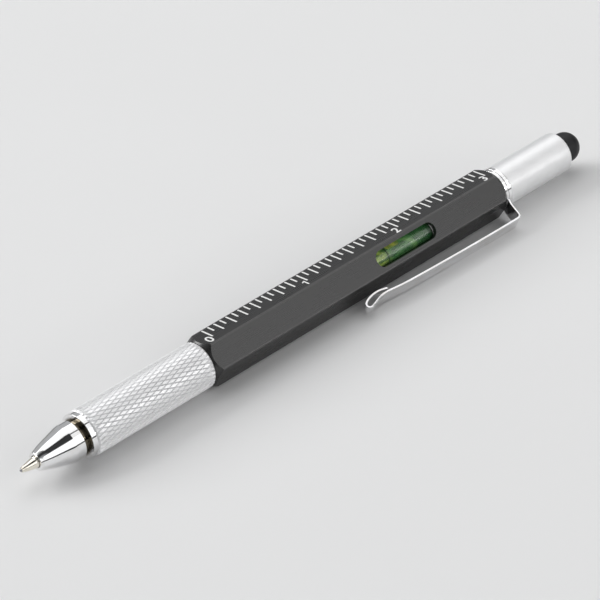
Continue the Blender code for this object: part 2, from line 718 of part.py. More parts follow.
def make_level():
    bore_front = VIAL_FRONT + VIAL_WALL
    vial = spun_profile(
        "vial_tube",
        [
            (VIAL_FRONT, 0.0),
            (VIAL_FRONT, VIAL_R - VIAL_WALL),
            (VIAL_FRONT + VIAL_WALL, VIAL_R),
            (VIAL_BACK, VIAL_R),
            (VIAL_BACK, VIAL_BORE_R),
            (bore_front, VIAL_BORE_R),
            (bore_front, 0.0),
        ],
        "clear_acrylic",
    )
    offset_level(vial)
    plug_front = VIAL_BACK - VIAL_PLUG
    offset_level(rod("vial_plug", plug_front, VIAL_BACK, VIAL_BORE_R - SEAT_GAP, "black_plastic"))
    liquid_front = bore_front + SEAT_GAP
    liquid_back = plug_front - SEAT_GAP
    liquid = offset_level(rod("vial_liquid", liquid_front, liquid_back, LIQUID_R, "green_liquid"))
    tilt, _ = rest_pose()
    up = Vector((math.sin(tilt), math.cos(tilt)))
    rise = LIQUID_R - BUBBLE_R - SEAT_GAP
    y, z = across(LEVEL_TURN, VIAL_OFFSET) + up * rise
    run_front = BUBBLE_START - SEAT_GAP
    run_back = BUBBLE_START + BUBBLE_LENGTH + BUBBLE_TRAVEL + SEAT_GAP
    channel = capsule("bubble_channel", run_front, run_back, BUBBLE_R + SEAT_GAP)
    vent = rod("bubble_vent", run_front + BUBBLE_R, run_back - BUBBLE_R, BUBBLE_R)
    vent_y, vent_z = across(LEVEL_TURN, VIAL_OFFSET) + up * (LIQUID_R - BUBBLE_R / 2)
    bubble = capsule(
        "vial_bubble", BUBBLE_START, BUBBLE_START + BUBBLE_LENGTH, BUBBLE_R, "air_bubble"
    )
    bubble.location = channel.location = (0.0, y, z)
    vent.location = (0.0, vent_y, vent_z)
    boolean(boolean(liquid, channel), vent)
    cradle_front, cradle_back = VIAL_FRONT - CRADLE_END, VIAL_BACK + CRADLE_END
    cradle = rod("vial_cradle", cradle_front, cradle_back, SEAT_R, "black_plastic", SIDES_OUTER)
    trough_front, trough_back = cradle_front - CUT_OVER, cradle_back + CUT_OVER
    trough = offset_level(rod("vial_trough", trough_front, trough_back, VIAL_R + SEAT_GAP))
    boolean(cradle, trough)
    size = (trough_back - trough_front, SEAT_R, 2 * SEAT_R + CUT_OVER)
    centre = (WINDOW_CENTRE, -VIAL_OFFSET - SEAT_R / 2, 0.0)
    boolean(cradle, box_cutter("cradle_top", size, centre, 0.0))


def clip_route():
    """The clip's middle line as (x, rise) points, from the ring to the folded tip's free end."""
    rise = CLIP_REACH - CLIP_RING_R
    ring_middle = (RING_SEAT + CLIP_RING_BACK) / 2
    points = [
        Vector((ring_middle - x * CLIP_LENGTH, CLIP_RING_R + share * rise))
        for x, share in CLIP_SHARES
    ]
    foot = Vector((ring_middle, (BARREL_BORE_R + CLIP_RING_R) / 2))
    return [foot, *smooth_route(points, CLIP_STEPS)]


def make_clip():
    bm = bmesh.new()
    rows = []
    for x, rise in clip_route():
        ends = [across(CLIP_TURN, rise, side * CLIP_WIDTH / 2) for side in (-1, 1)]
        rows.append([bm.verts.new((x, y, z)) for y, z in ends])
    for near, far in zip(rows, rows[1:]):
        bm.faces.new((near[0], near[1], far[1], far[0]))
    arm = place("clip", mesh_from(bm, "clip"), "polished_chrome")
    sheet = arm.modifiers.new("Sheet", "SOLIDIFY")
    sheet.thickness = CLIP_SHEET
    sheet.offset = 0.0
    bore = SEAT_R + SEAT_GAP
    ring = tube("clip_ring", RING_SEAT, CLIP_RING_BACK, CLIP_RING_R, bore, sides=SIDES_OUTER)
    boolean(arm, ring, "UNION")


def make_bit_holder():
    holder = spun_profile(
        "bit_holder",
        [
            (HOLDER_FRONT, 0.0),
            (HOLDER_FRONT, SEAT_R),
            (FLANGE_FRONT, SEAT_R),
            (FLANGE_FRONT, HOLDER_FLANGE_R),
            (FLANGE_BACK, HOLDER_FLANGE_R),
            (FLANGE_BACK, THREAD_R),
            (THREAD_BACK - THREAD_LEAD_IN, THREAD_R),
            (THREAD_BACK, THREAD_R - THREAD_LEAD_IN),
            (THREAD_BACK, 0.0),
        ],
        "polished_chrome",
        SIDES_OUTER,
    )
    hole = hex_prism("hex_hole", HOLDER_FRONT - CUT_OVER, THREAD_BACK + CUT_OVER, HEX_HOLE_WIDTH)
    boolean(holder, hole)
    rod("bit_magnet", HOLDER_FRONT, MAGNET_BACK, BIT_FLAT_WIDTH / 2, "magnet")


def make_bit():
    bit = hex_prism("screwdriver_bit", BIT_FRONT, BIT_BACK, BIT_FLAT_WIDTH, "tool_steel")
    corner = BIT_FLAT_WIDTH / 2 / math.cos(math.pi / 6) + CUT_OVER
    shape = spun_profile(
        "bit_shape",
        [
            (BIT_FRONT, 0.0),
            (BIT_FRONT, BIT_TIP_R),
            (BIT_FRONT + BIT_NECK / 2, BIT_NECK_R),
            (BIT_FRONT + BIT_NECK, BIT_NECK_R),
            (BIT_FRONT + BIT_NECK + corner - BIT_NECK_R, corner),
            (BIT_BACK - BIT_NECK - corner + BIT_NECK_R, corner),
            (BIT_BACK - BIT_NECK, BIT_NECK_R),
            (BIT_BACK + CUT_OVER, BIT_NECK_R),
            (BIT_BACK + CUT_OVER, 0.0),
        ],
    )
    boolean(bit, shape, "INTERSECT")
    reach = BIT_NECK_R + CUT_OVER
    for side in (-1, 1):
        name = "blade_cut_top" if side > 0 else "blade_cut_base"
        size = (BIT_NECK, 2 * reach, reach)
        centre = (BIT_BACK, 0.0, side * (BIT_BLADE + reach) / 2)
        boolean(bit, box_cutter(name, size, centre, 0.0))
    for quarter in range(4):
        size = (BIT_NECK, reach, reach)
        shift = (BIT_CROSS + reach) / 2
        roll = quarter * math.pi / 2
        boolean(bit, box_cutter(f"cross_cut_{quarter}", size, (BIT_FRONT, shift, shift), roll))


def make_cap():
    drop = CAP_SHOULDER * CAP_SHOULDER_SHARE
    turned(
        "cap_sleeve",
        [
            (CAP_FRONT, CAP_R - CAP_RIM),
            (CAP_FRONT + CAP_RIM, CAP_R),
            (CAP_BACK - CAP_SHOULDER, CAP_R),
            (CAP_BACK - drop, CAP_R - drop),
            (CAP_BACK, CAP_R - CAP_SHOULDER),
            (CAP_BACK, STEM_R + SEAT_GAP),
            (CAP_FLOOR, STEM_R + SEAT_GAP),
            (CAP_FLOOR, CAP_BORE_R),
            (CAP_FRONT, CAP_BORE_R),
        ],
        "satin_aluminium",
        SIDES_OUTER,
    )
    front, back = CAP_LINER_FRONT, CAP_LINER_FRONT + CAP_LINER_LENGTH
    tube("cap_liner", front, back, CAP_LINER_R, CAP_LINER_BORE_R, "turned_brass", SIDES_OUTER)
    spun_profile(
        "stylus_holder",
        [
            (PLATE_FRONT, 0.0),
            (PLATE_FRONT, CAP_LINER_R),
            (PLATE_BACK, CAP_LINER_R),
            (PLATE_BACK, STEM_R),
            (DOME_FRONT + STYLUS_NOSE / 2, STEM_R),
            (DOME_FRONT + STYLUS_NOSE / 2, STYLUS_NOSE_R),
            (DOME_FRONT + STYLUS_NOSE, STYLUS_NOSE_R),
            (DOME_FRONT + STYLUS_NOSE, 0.0),
        ],
        "turned_brass",
    )


def make_stylus():
    quarter = SIDES_INNER // 4
    dome_base = DOME_FRONT + STYLUS_SKIRT
    turns = [math.pi / 2 * step / quarter for step in range(quarter + 1)]
    outside = [(dome_base + STYLUS_DOME * math.sin(a), STYLUS_R * math.cos(a)) for a in turns]
    outside[-1] = (STYLUS_TIP, 0.0)
    nose_bore = STYLUS_NOSE_R + SEAT_GAP
    lip_back = DOME_FRONT + STYLUS_NOSE / 2 - SEAT_GAP
    inner_dome = STYLUS_DOME - STYLUS_WALL
    inside = [(dome_base + inner_dome * math.sin(a), nose_bore * math.cos(a)) for a in reversed(turns)]
    inside[0] = (dome_base + inner_dome, 0.0)
    foot = [(lip_back, nose_bore), (lip_back, STEM_R + SEAT_GAP), (DOME_FRONT, STEM_R + SEAT_GAP)]
    base = [(DOME_FRONT, STYLUS_R)]
    spun_profile("stylus_tip", inside + foot + base + outside, "black_rubber", SIDES_OUTER)


clear_scene()
parts = new_collection("multi_tool_pen")
cutters = new_collection("cutters")
pen_axis = make_axis()
make_barrel()
make_grip()
make_nose_cone()
make_refill()
make_spring()
make_twist()
make_level()
make_clip()
make_bit_holder()
make_bit()
make_cap()
make_stylus()
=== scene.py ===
"""Looks of a multi tool pen: hexagonal ruler barrel, level, clip, knurled grip, stylus cap and driver bit.

Pieces are modelled in millimetres along the pen's own X, nib towards -X, with x = 0 at the ruler's zero mark.
Turns about the pen are measured from the level face, which looks along the pen's -Y, towards the ruler face.
PEN_TO_WORLD lays each finished mesh on the table, in metres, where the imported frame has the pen.
"""

import logging
import math
from collections.abc import Sequence
from dataclasses import dataclass
from enum import Enum
from typing import Any, TypeAlias

import bmesh
import bpy
from mathutils import Matrix, Vector


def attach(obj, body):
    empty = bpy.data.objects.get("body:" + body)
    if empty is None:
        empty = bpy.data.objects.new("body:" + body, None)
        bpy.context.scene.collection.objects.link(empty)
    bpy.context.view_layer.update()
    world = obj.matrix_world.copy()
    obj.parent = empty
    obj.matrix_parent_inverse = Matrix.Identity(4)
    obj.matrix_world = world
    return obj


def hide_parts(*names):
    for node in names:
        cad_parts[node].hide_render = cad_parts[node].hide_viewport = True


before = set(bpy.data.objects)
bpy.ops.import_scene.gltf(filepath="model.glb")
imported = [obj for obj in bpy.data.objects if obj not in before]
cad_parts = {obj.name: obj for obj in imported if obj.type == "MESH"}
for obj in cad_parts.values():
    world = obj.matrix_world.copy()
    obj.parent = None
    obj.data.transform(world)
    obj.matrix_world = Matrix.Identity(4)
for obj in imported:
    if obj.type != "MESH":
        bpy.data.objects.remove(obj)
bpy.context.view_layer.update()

log = logging.getLogger("multi_tool_pen")

MILLIMETRE = 0.001
PEN_TILT = math.radians(-37.2257)
PEN_PLACE = Vector((-27.55, 1.83277, 5.14428))
PEN_TO_WORLD = (
    Matrix.Diagonal((MILLIMETRE, MILLIMETRE, MILLIMETRE, 1.0))
    @ Matrix.Translation(PEN_PLACE)
    @ Matrix.Rotation(PEN_TILT, 4, "X")
)
WELD = 0.0002  # millimetres, below which two points are one

Point = tuple[float, float]
Place = tuple[float, float, float]
Colour = tuple[float, float, float]
Solid = bmesh.types.BMesh
Mesh = bpy.types.Mesh
Shape = Solid | Mesh
Term: TypeAlias = "Value | float"
Settings = dict[str, Any]
Inputs = dict[int | str, Any]


class Body(Enum):
    """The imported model's bodies, by name."""

    BARREL = "barrel"
    GRIP = "grip"
    REFILL = "refill"
    BUBBLE = "bubble"
    STYLUS = "stylus"
    CAP = "cap"
    BIT = "bit"


class Face(Enum):
    """Faces of the barrel, as turns about the pen in degrees."""

    LEVEL = 0.0
    RULER = 60.0
    CLIP = -60.0

    @property
    def frame(self) -> Matrix:
        """Where the face's own axes lie on the pen.

        Returns:
            The matrix: X along the pen, Y to the side, Z outwards.
        """
        turn = math.radians(self.value)
        side = (0.0, math.sin(turn), math.cos(turn))
        out = (0.0, -math.cos(turn), math.sin(turn))
        return Matrix(((1.0, 0.0, 0.0), side, out)).transposed().to_4x4()


class Cut(Enum):
    """How one solid works on another."""

    REMOVE = "DIFFERENCE"
    KEEP = "INTERSECT"


class Bevel(Enum):
    """What a bevel works on, and how its size is meant."""

    EDGES = "OFFSET"
    VERTICES = "PERCENT"


# Shader values


class Value:
    """An output socket that Python's arithmetic works on."""

    def __init__(self, graph: "Graph", socket: bpy.types.NodeSocket) -> None:
        """Keeps the socket and the graph it belongs to."""
        self.graph = graph
        self.socket = socket

    def _maths(self, operation: str, first: Term, second: Term) -> "Value":
        """One Math node on two values."""
        return self.graph.node("ShaderNodeMath", {"operation": operation}, {0: first, 1: second})

    def __add__(self, other: Term) -> "Value":
        """Sum."""
        return self._maths("ADD", self, other)

    def __sub__(self, other: Term) -> "Value":
        """Difference."""
        return self._maths("SUBTRACT", self, other)

    def __rsub__(self, other: Term) -> "Value":
        """Difference, from the right."""
        return self._maths("SUBTRACT", other, self)

    def __mul__(self, other: Term) -> "Value":
        """Product."""
        return self._maths("MULTIPLY", self, other)

    def __pow__(self, other: Term) -> "Value":
        """Power."""
        return self._maths("POWER", self, other)

    __radd__ = __add__
    __rmul__ = __mul__

    def swing(self, spread: float) -> "Value":
        """A noise's swing around its middle, by half the spread to each side."""
        return spread * (self - 0.5)

    def output(self, name: str) -> "Value":
        """Another output of the same node."""
        return Value(self.graph, self.socket.node.outputs[name])


class Graph:
    """The nodes of one material or of the world."""

    def __init__(self, tree: bpy.types.NodeTree) -> None:
        """Takes a node tree and empties it."""
        self.tree = tree
        self.tree.nodes.clear()

    @staticmethod
    def _socket(sockets: Any, key: int | str) -> bpy.types.NodeSocket:
        """Finds a socket.

        Args:
            sockets: A node's inputs or outputs.
            key: Its place, identifier or name.

        Returns:
            The socket.
        """
        if isinstance(key, int):
            return sockets[key]
        return next((s for s in sockets if s.identifier == key), None) or sockets[key]

    def add(
        self, kind: str, settings: Settings | None = None, inputs: Inputs | None = None
    ) -> bpy.types.Node:
        """Adds a node.

        Args:
            kind: The node's type.
            settings: Its properties, set first, with a ramp's stops as (position, colour) pairs.
            inputs: Values or links for its sockets, by place, identifier or name.

        Returns:
            The node.
        """
        made = self.tree.nodes.new(kind)
        for key, setting in (settings or {}).items():
            if key == "stops":
                ramp = made.color_ramp
                while len(ramp.elements) < len(setting):
                    ramp.elements.new(1.0)
                for element, (position, colour) in zip(ramp.elements, setting):
                    element.position = position
                    element.color = (*colour, 1.0)
            else:
                setattr(made, key, setting)
        for key, value in (inputs or {}).items():
            socket = self._socket(made.inputs, key)
            if isinstance(value, Value):
                self.tree.links.new(value.socket, socket)
            elif isinstance(value, tuple) and socket.type == "RGBA":
                socket.default_value = (*value, 1.0)
            else:
                socket.default_value = value
        return made

    def node(
        self, kind: str, settings: Settings | None = None, inputs: Inputs | None = None, output: int | str = 0
    ) -> Value:
        """Adds a node as add does, and gives one of its outputs."""
        return Value(self, self._socket(self.add(kind, settings, inputs).outputs, output))

    def pen(self) -> Value:
        """The place on the pen.

        Returns:
            The vector, in millimetres along the pen's own axes.
        """
        back = PEN_TO_WORLD.inverted()
        place = self.node("ShaderNodeTexCoord", output="Object")
        inputs = {
            "Vector": place,
            "Location": back.to_translation(),
            "Rotation": back.to_euler(),
            "Scale": back.to_scale(),
        }
        return self.node("ShaderNodeMapping", {"vector_type": "POINT"}, inputs)

    def split(self, vector: Value) -> tuple[Value, Value, Value]:
        """The three numbers of a vector."""
        parts = self.node("ShaderNodeSeparateXYZ", inputs={0: vector})
        return parts.output("X"), parts.output("Y"), parts.output("Z")

    def radius(self, place: Value) -> Value:
        """The distance from the pen's axis."""
        _, y, z = self.split(place)
        return (y * y + z * z) ** 0.5

    def noise(self, where: Value, scale: Place, detail: float = 2.0) -> Value:
        """Soft noise around 0.5.

        Args:
            where: The place to read it at.
            scale: Cells in a millimetre along each axis.
            detail: Finer layers on top of the first.

        Returns:
            The noise.
        """
        spread = self.node("ShaderNodeVectorMath", {"operation": "MULTIPLY"}, {0: where, 1: scale})
        return self.node("ShaderNodeTexNoise", inputs={"Vector": spread, "Scale": 1.0, "Detail": detail})

    def fit(self, value: Value, low: float, high: float, to_low: float = 0.0, to_high: float = 1.0) -> Value:
        """The value carried smoothly from one range to another, and held at its ends.

        Args:
            value: The value.
            low: Where the first range starts.
            high: Where it ends.
            to_low: What low becomes.
            to_high: What high becomes.

        Returns:
            The carried value.
        """
        inputs = {0: value, 1: low, 2: high, 3: to_low, 4: to_high}
        return self.node("ShaderNodeMapRange", {"interpolation_type": "SMOOTHSTEP"}, inputs)

    def mix(self, share: Value, first: Value | Colour, second: Value | Colour) -> Value:
        """A colour between two colours."""
        inputs = {"Factor_Float": share, "A_Color": first, "B_Color": second}
        return self.node("ShaderNodeMix", {"data_type": "RGBA"}, inputs, "Result_Color")

    def bump(self, height: Value, depth: float, strength: float) -> Value:
        """A normal from a height of 0 to 1, where 1 is the depth in millimetres."""
        inputs = {"Height": height, "Distance": depth * MILLIMETRE, "Strength": strength}
        return self.node("ShaderNodeBump", inputs=inputs)

    def principled(self, inputs: Inputs) -> Value:
        """A Principled shader."""
        return self.node("ShaderNodeBsdfPrincipled", inputs=inputs)


# Finishes


@dataclass(frozen=True)
class Finish:
    """A finish of the pen. Each kind lays its own nodes.

    A Place among its fields is a noise's scale, in cells in a millimetre along each axis. A range is the part
    of a noise, or of the radius, over which one colour turns into another. A spread is a swing of the
    roughness.
    """

    name: str = "finish"

    def material(self) -> bpy.types.Material:
        """The finish's material, made the first time it is asked for.

        Returns:
            The material.
        """
        found = bpy.data.materials.get(self.name)
        if found:
            return found
        made = bpy.data.materials.new(self.name)
        made.use_nodes = True
        graph = Graph(made.node_tree)
        graph.add("ShaderNodeOutputMaterial", inputs={"Surface": self.lay(graph, graph.pen())})
        return made

    def lay(self, graph: Graph, place: Value) -> Value:
        """Lays the nodes.

        Args:
            graph: The material's nodes.
            place: The place on the pen.

        Returns:
            The shader.
        """
        raise NotImplementedError


@dataclass(frozen=True)
class BlackAnodised(Finish):
    """Black anodised barrel: satin, with drawn lines along the flats, a fine tooth, and edges painted paler
    as wear and highlight.
    """

    name: str = "pen_black_anodised"
    colour: Colour = (0.011, 0.0107, 0.0105)
    worn: Colour = (0.018, 0.017, 0.0165)
    worn_range: Point = (0.45, 0.75)
    worn_share: float = 0.7
    # The paler colour of the rounded long edges: partly rubbed wear, partly a painted highlight.
    edge: Colour = (0.055, 0.053, 0.052)
    edge_wear_and_highlight_range: Point = (5.40, 5.54)
    edge_wear_and_highlight_share: float = 0.8
    roughness: float = 0.28
    cloud_spread: float = 0.10
    line_spread: float = 0.08
    refraction: float = 1.64
    clouds: Place = (0.12, 0.3, 0.3)
    lines: Place = (0.06, 9.0, 9.0)
    tooth: Place = (14.0, 14.0, 14.0)
    tooth_share: float = 0.6
    depth: float = 0.004
    relief: float = 0.6

    def lay(self, graph: Graph, place: Value) -> Value:
        """Lays the nodes.

        Args:
            graph: The material's nodes.
            place: The place on the pen.

        Returns:
            The shader.
        """
        lines = graph.noise(place, self.lines, detail=3.0)
        tooth = graph.noise(place, self.tooth)
        cloud = graph.noise(place, self.clouds, detail=3.0)
        worn = graph.fit(cloud, *self.worn_range, 0.0, self.worn_share)
        # Partly wear, partly painted highlight: the rounded long edges are painted paler.
        edge = graph.fit(graph.radius(place), *self.edge_wear_and_highlight_range, 0.0, self.edge_wear_and_highlight_share)
        height = tooth * self.tooth_share + lines * (1 - self.tooth_share)
        return graph.principled({
            "Base Color": graph.mix(edge, graph.mix(worn, self.colour, self.worn), self.edge),
            "Roughness": self.roughness + cloud.swing(self.cloud_spread) + lines.swing(self.line_spread),
            "IOR": self.refraction,
            "Normal": graph.bump(height, self.depth, self.relief),
        })


@dataclass(frozen=True)
class TurnedMetal(Finish):
    """Metal turned on a lathe: fine rings around the pen's axis, with faint smudges."""

    name: str = "pen_turned_metal"
    colour: Colour = (0.80, 0.80, 0.81)
    shade: Colour = (0.70, 0.70, 0.72)
    roughness: float = 0.3
    spread: float = 0.08
    rings: float = 12.0
    depth: float = 0.002
    metal: float = 1.0
    smudges: Place = (0.35, 0.7, 0.7)
    shade_range: Point = (0.4, 0.7)
    relief: float = 0.5

    def lay(self, graph: Graph, place: Value) -> Value:
        """Lays the nodes.

        Args:
            graph: The material's nodes.
            place: The place on the pen.

        Returns:
            The shader.
        """
        rings = graph.noise(place, (self.rings, 0.0, 0.0), detail=3.0)
        smudge = graph.noise(place, self.smudges, detail=3.0)
        return graph.principled({
            "Base Color": self.tone(graph, place, smudge),
            "Metallic": self.metal,
            "Roughness": self.roughness + smudge.swing(self.spread) + rings.swing(self.spread),
            "Normal": graph.bump(rings, self.depth, self.relief),
        })

    def tone(self, graph: Graph, place: Value, smudge: Value) -> Value:
        """The metal's colour from place to place."""
        return graph.mix(graph.fit(smudge, *self.shade_range), self.colour, self.shade)


@dataclass(frozen=True)
class GrooveShadedMetal(TurnedMetal):
    """Turned metal that is dull and dark at the bottom of its groove, where the darkness is painted shade."""

    # Painted shade: the colour the metal darkens to at the bottom of the groove.
    groove_shade: Colour = (0.10, 0.085, 0.06)
    groove_shade_range: Point = (3.55, 4.3)

    def tone(self, graph: Graph, place: Value, smudge: Value) -> Value:
        """The metal's colour from place to place, with painted shade darkening the groove."""
        # Painted shade: darker where the radius falls into the groove.
        height = graph.fit(graph.radius(place), *self.groove_shade_range)
        return graph.mix(height, self.groove_shade, super().tone(graph, place, smudge))


@dataclass(frozen=True)
class KnurledMetal(Finish):
    """Bare aluminium of the grip: bright, polished tops and grooves greyed by painted shade, with a fine
    grain.
    """

    name: str = "pen_knurled_aluminium"
    top: Colour = (0.97, 0.97, 0.975)
    # Painted shade: the greyer colour of the grooves between the diamonds.
    groove_shade: Colour = (0.81, 0.81, 0.82)
    groove_shade_range: Point = (4.70, 4.87)
    metal: float = 0.55
    roughness: float = 0.46
    polish: float = 0.06
    spread: float = 0.12
    grain: Place = (9.0, 9.0, 9.0)
    depth: float = 0.003
    relief: float = 0.5

    def lay(self, graph: Graph, place: Value) -> Value:
        """Lays the nodes.

        Args:
            graph: The material's nodes.
            place: The place on the pen.

        Returns:
            The shader.
        """
        # Painted shade: height runs from the grooves to the tops, and the colour greys towards the grooves.
        height = graph.fit(graph.radius(place), *self.groove_shade_range)
        grain = graph.noise(place, self.grain)
        return graph.principled({
            "Base Color": graph.mix(height, self.groove_shade, self.top),
            "Metallic": self.metal,
            "Roughness": self.roughness - self.polish * height + grain.swing(self.spread),
            "Normal": graph.bump(grain, self.depth, self.relief),
        })


@dataclass(frozen=True)
class RolledSteel(Finish):
    """Bright plated sheet of the clip, with faint rolling lines along it."""

    name: str = "pen_plated_sheet"
    colour: Colour = (0.86, 0.86, 0.87)
    shade: Colour = (0.78, 0.77, 0.76)
    shade_range: Point = (0.4, 0.7)
    metal: float = 1.0
    roughness: float = 0.12
    smudge_spread: float = 0.10
    line_spread: float = 0.06
    smudges: Place = (0.3, 0.8, 0.8)
    lines: Place = (0.08, 6.0, 6.0)
    depth: float = 0.002
    relief: float = 0.4

    def lay(self, graph: Graph, place: Value) -> Value:
        """Lays the nodes.

        Args:
            graph: The material's nodes.
            place: The place on the pen.

        Returns:
            The shader.
        """
        lines = graph.noise(place, self.lines, detail=3.0)
        smudge = graph.noise(place, self.smudges, detail=3.0)
        return graph.principled({
            "Base Color": graph.mix(graph.fit(smudge, *self.shade_range), self.colour, self.shade),
            "Metallic": self.metal,
            "Roughness": self.roughness + smudge.swing(self.smudge_spread) + lines.swing(self.line_spread),
            "Normal": graph.bump(lines, self.depth, self.relief),
        })


@dataclass(frozen=True)
class Moulded(Finish):
    """Moulded plastic or rubber, with a fine tooth and a faint cloud."""

    name: str = "pen_moulded_black"
    colour: Colour = (0.022, 0.022, 0.023)
    pale: Colour = (0.034, 0.034, 0.035)
    roughness: float = 0.5
    tooth: float = 10.0
    depth: float = 0.006
    gloss: float = 0.5
    spread: float = 0.12
    clouds: Place = (0.5, 0.5, 0.5)
    relief: float = 0.6

    def lay(self, graph: Graph, place: Value) -> Value:
        """Lays the nodes.

        Args:
            graph: The material's nodes.
            place: The place on the pen.

        Returns:
            The shader.
        """
        tooth = graph.noise(place, (self.tooth,) * 3, detail=3.0)
        cloud = graph.noise(place, self.clouds)
        return graph.principled({
            "Base Color": graph.mix(cloud, self.colour, self.pale),
            "Roughness": self.roughness + cloud.swing(self.spread),
            "Specular IOR Level": self.gloss,
            "Normal": graph.bump(tooth, self.depth, self.relief),
        })


@dataclass(frozen=True)
class ScalePrint(Finish):
    """White pad-printed ink of the scale, thin in places."""

    name: str = "pen_scale_print"
    colour: Colour = (0.86, 0.86, 0.85)
    thin: Colour = (0.76, 0.76, 0.75)
    thin_range: Point = (0.55, 0.75)
    roughness: float = 0.45
    spread: float = 0.15
    specks: Place = (7.0, 7.0, 7.0)
    depth: float = 0.004
    relief: float = 0.5

    def lay(self, graph: Graph, place: Value) -> Value:
        """Lays the nodes.

        Args:
            graph: The material's nodes.
            place: The place on the pen.

        Returns:
            The shader.
        """
        speck = graph.noise(place, self.specks, detail=3.0)
        return graph.principled({
            "Base Color": graph.mix(graph.fit(speck, *self.thin_range), self.colour, self.thin),
            "Roughness": self.roughness + speck.swing(self.spread),
            "Normal": graph.bump(speck, self.depth, self.relief),
        })


@dataclass(frozen=True)
class ClearAcrylic(Finish):
    """Clear wall of the vial, with a little haze that keeps its highlight even."""

    name: str = "pen_clear_acrylic"
    colour: Colour = (0.96, 0.99, 0.94)
    roughness: float = 0.22
    haze: float = 0.03
    clouds: Place = (0.6, 1.5, 1.5)
    refraction: float = 1.49
    gloss: float = 0.36

    def lay(self, graph: Graph, place: Value) -> Value:
        """Lays the nodes.

        Args:
            graph: The material's nodes.
            place: The place on the pen.

        Returns:
            The shader.
        """
        return graph.principled({
            "Base Color": self.colour,
            "Roughness": self.roughness + self.haze * graph.noise(place, self.clouds, detail=3.0),
            "Transmission Weight": 1.0,
            "IOR": self.refraction,
            "Specular IOR Level": self.gloss,
        })


@dataclass(frozen=True)
class LevelLiquid(Finish):
    """The level's liquid: yellow-green at the nose end, deeper green to the tail, with drifting painted
    reflections.
    """

    name: str = "pen_level_liquid"
    nose: Colour = (0.31, 0.39, 0.09)
    middle: Colour = (0.075, 0.20, 0.070)
    deep: Colour = (0.020, 0.078, 0.026)
    stops: Place = (0.07, 0.24, 0.75)
    start: float = 40.6
    end: float = 57.4
    drift: float = 3.0
    drifts: Place = (0.45, 0.9, 0.9)
    shades: Place = (0.55, 1.3, 1.3)
    shade_range: Point = (0.44, 0.62)
    shade_share: float = 0.85
    # Painted reflection: the pale green of the gleams.
    pale: Colour = (0.16, 0.31, 0.11)
    gleams: Place = (0.8, 1.5, 1.5)
    gleam_shift: float = 7.0
    gleam_range: Point = (0.52, 0.66)
    gleam_share: float = 0.75
    roughness: float = 0.08
    spread: float = 0.05
    clear: float = 0.25
    refraction: float = 1.36
    # Painted light: the liquid glows in its own colour, for light that would come through it.
    glow: float = 0.4

    def lay(self, graph: Graph, place: Value) -> Value:
        """Lays the nodes.

        Args:
            graph: The material's nodes.
            place: The place on the pen.

        Returns:
            The shader.
        """
        along, _, _ = graph.split(place)
        drift = graph.noise(place, self.drifts)
        where = graph.fit(along + drift.swing(self.drift), self.start, self.end)
        colours = (self.nose, self.nose, self.middle, self.middle, self.deep)
        stops = list(zip((0.0, *self.stops, 1.0), colours))
        ramp = graph.node("ShaderNodeValToRGB", {"stops": stops}, {0: where})
        # Painted reflections: dark drifts pull the colour to the deep green, pale gleams to the pale green.
        shade = graph.noise(place, self.shades, detail=3.0)
        shade = graph.fit(shade, *self.shade_range, 0.0, self.shade_share)
        # A sum is one number, the mean of the place's axes, so the gleams lie across the vial.
        gleam = graph.noise(place + self.gleam_shift, self.gleams, detail=3.0)
        gleam = graph.fit(gleam, *self.gleam_range, 0.0, self.gleam_share)
        colour = graph.mix(gleam, graph.mix(shade, ramp, self.deep), self.pale)
        return graph.principled({
            "Base Color": colour,
            "Roughness": self.roughness + self.spread * drift,
            "Specular IOR Level": 0.0,
            "Transmission Weight": self.clear,
            "IOR": self.refraction,
            # Painted light: the liquid glows in its own colour.
            "Emission Color": colour,
            "Emission Strength": self.glow,
        })


@dataclass(frozen=True)
class AirBubble(Finish):
    """The bubble in the level: a pale yellow-green lens, its colour and glow a painted highlight."""

    name: str = "pen_air_bubble"
    # Painted highlight: the bright crescent colour of the bubble.
    bright: Colour = (0.62, 0.60, 0.13)
    shade: Colour = (0.20, 0.28, 0.06)
    shade_range: Point = (0.4, 0.6)
    drifts: Place = (0.5, 1.2, 1.2)
    roughness: float = 0.05
    spread: float = 0.05
    clear: float = 0.15
    refraction: float = 1.2
    glow: float = 0.25

    def lay(self, graph: Graph, place: Value) -> Value:
        """Lays the nodes.

        Args:
            graph: The material's nodes.
            place: The place on the pen.

        Returns:
            The shader.
        """
        drift = graph.noise(place, self.drifts)
        colour = graph.mix(graph.fit(drift, *self.shade_range), self.bright, self.shade)
        return graph.principled({
            "Base Color": colour,
            "Roughness": self.roughness + self.spread * drift,
            "Transmission Weight": self.clear,
            # Painted light: the bubble glows in its own colour.
            "IOR": self.refraction,
            "Emission Color": colour,
            "Emission Strength": self.glow,
        })


@dataclass(frozen=True)
class TableTop(Finish):
    """Pale matt table."""

    name: str = "studio_table"
    colour: Colour = (0.79, 0.79, 0.79)
    pale: Colour = (0.8058, 0.8058, 0.8058)
    clouds: Place = (0.02, 0.02, 0.02)
    roughness: float = 0.7
    spread: float = 0.1
    gloss: float = 0.2

    def lay(self, graph: Graph, place: Value) -> Value:
        """Lays the nodes.

        Args:
            graph: The material's nodes.
            place: The place on the pen.

        Returns:
            The shader.
        """
        cloud = graph.noise(place, self.clouds)
        return graph.principled({
            "Base Color": graph.mix(cloud, self.colour, self.pale),
            "Roughness": self.roughness + cloud.swing(self.spread),
            "Specular IOR Level": self.gloss,
        })


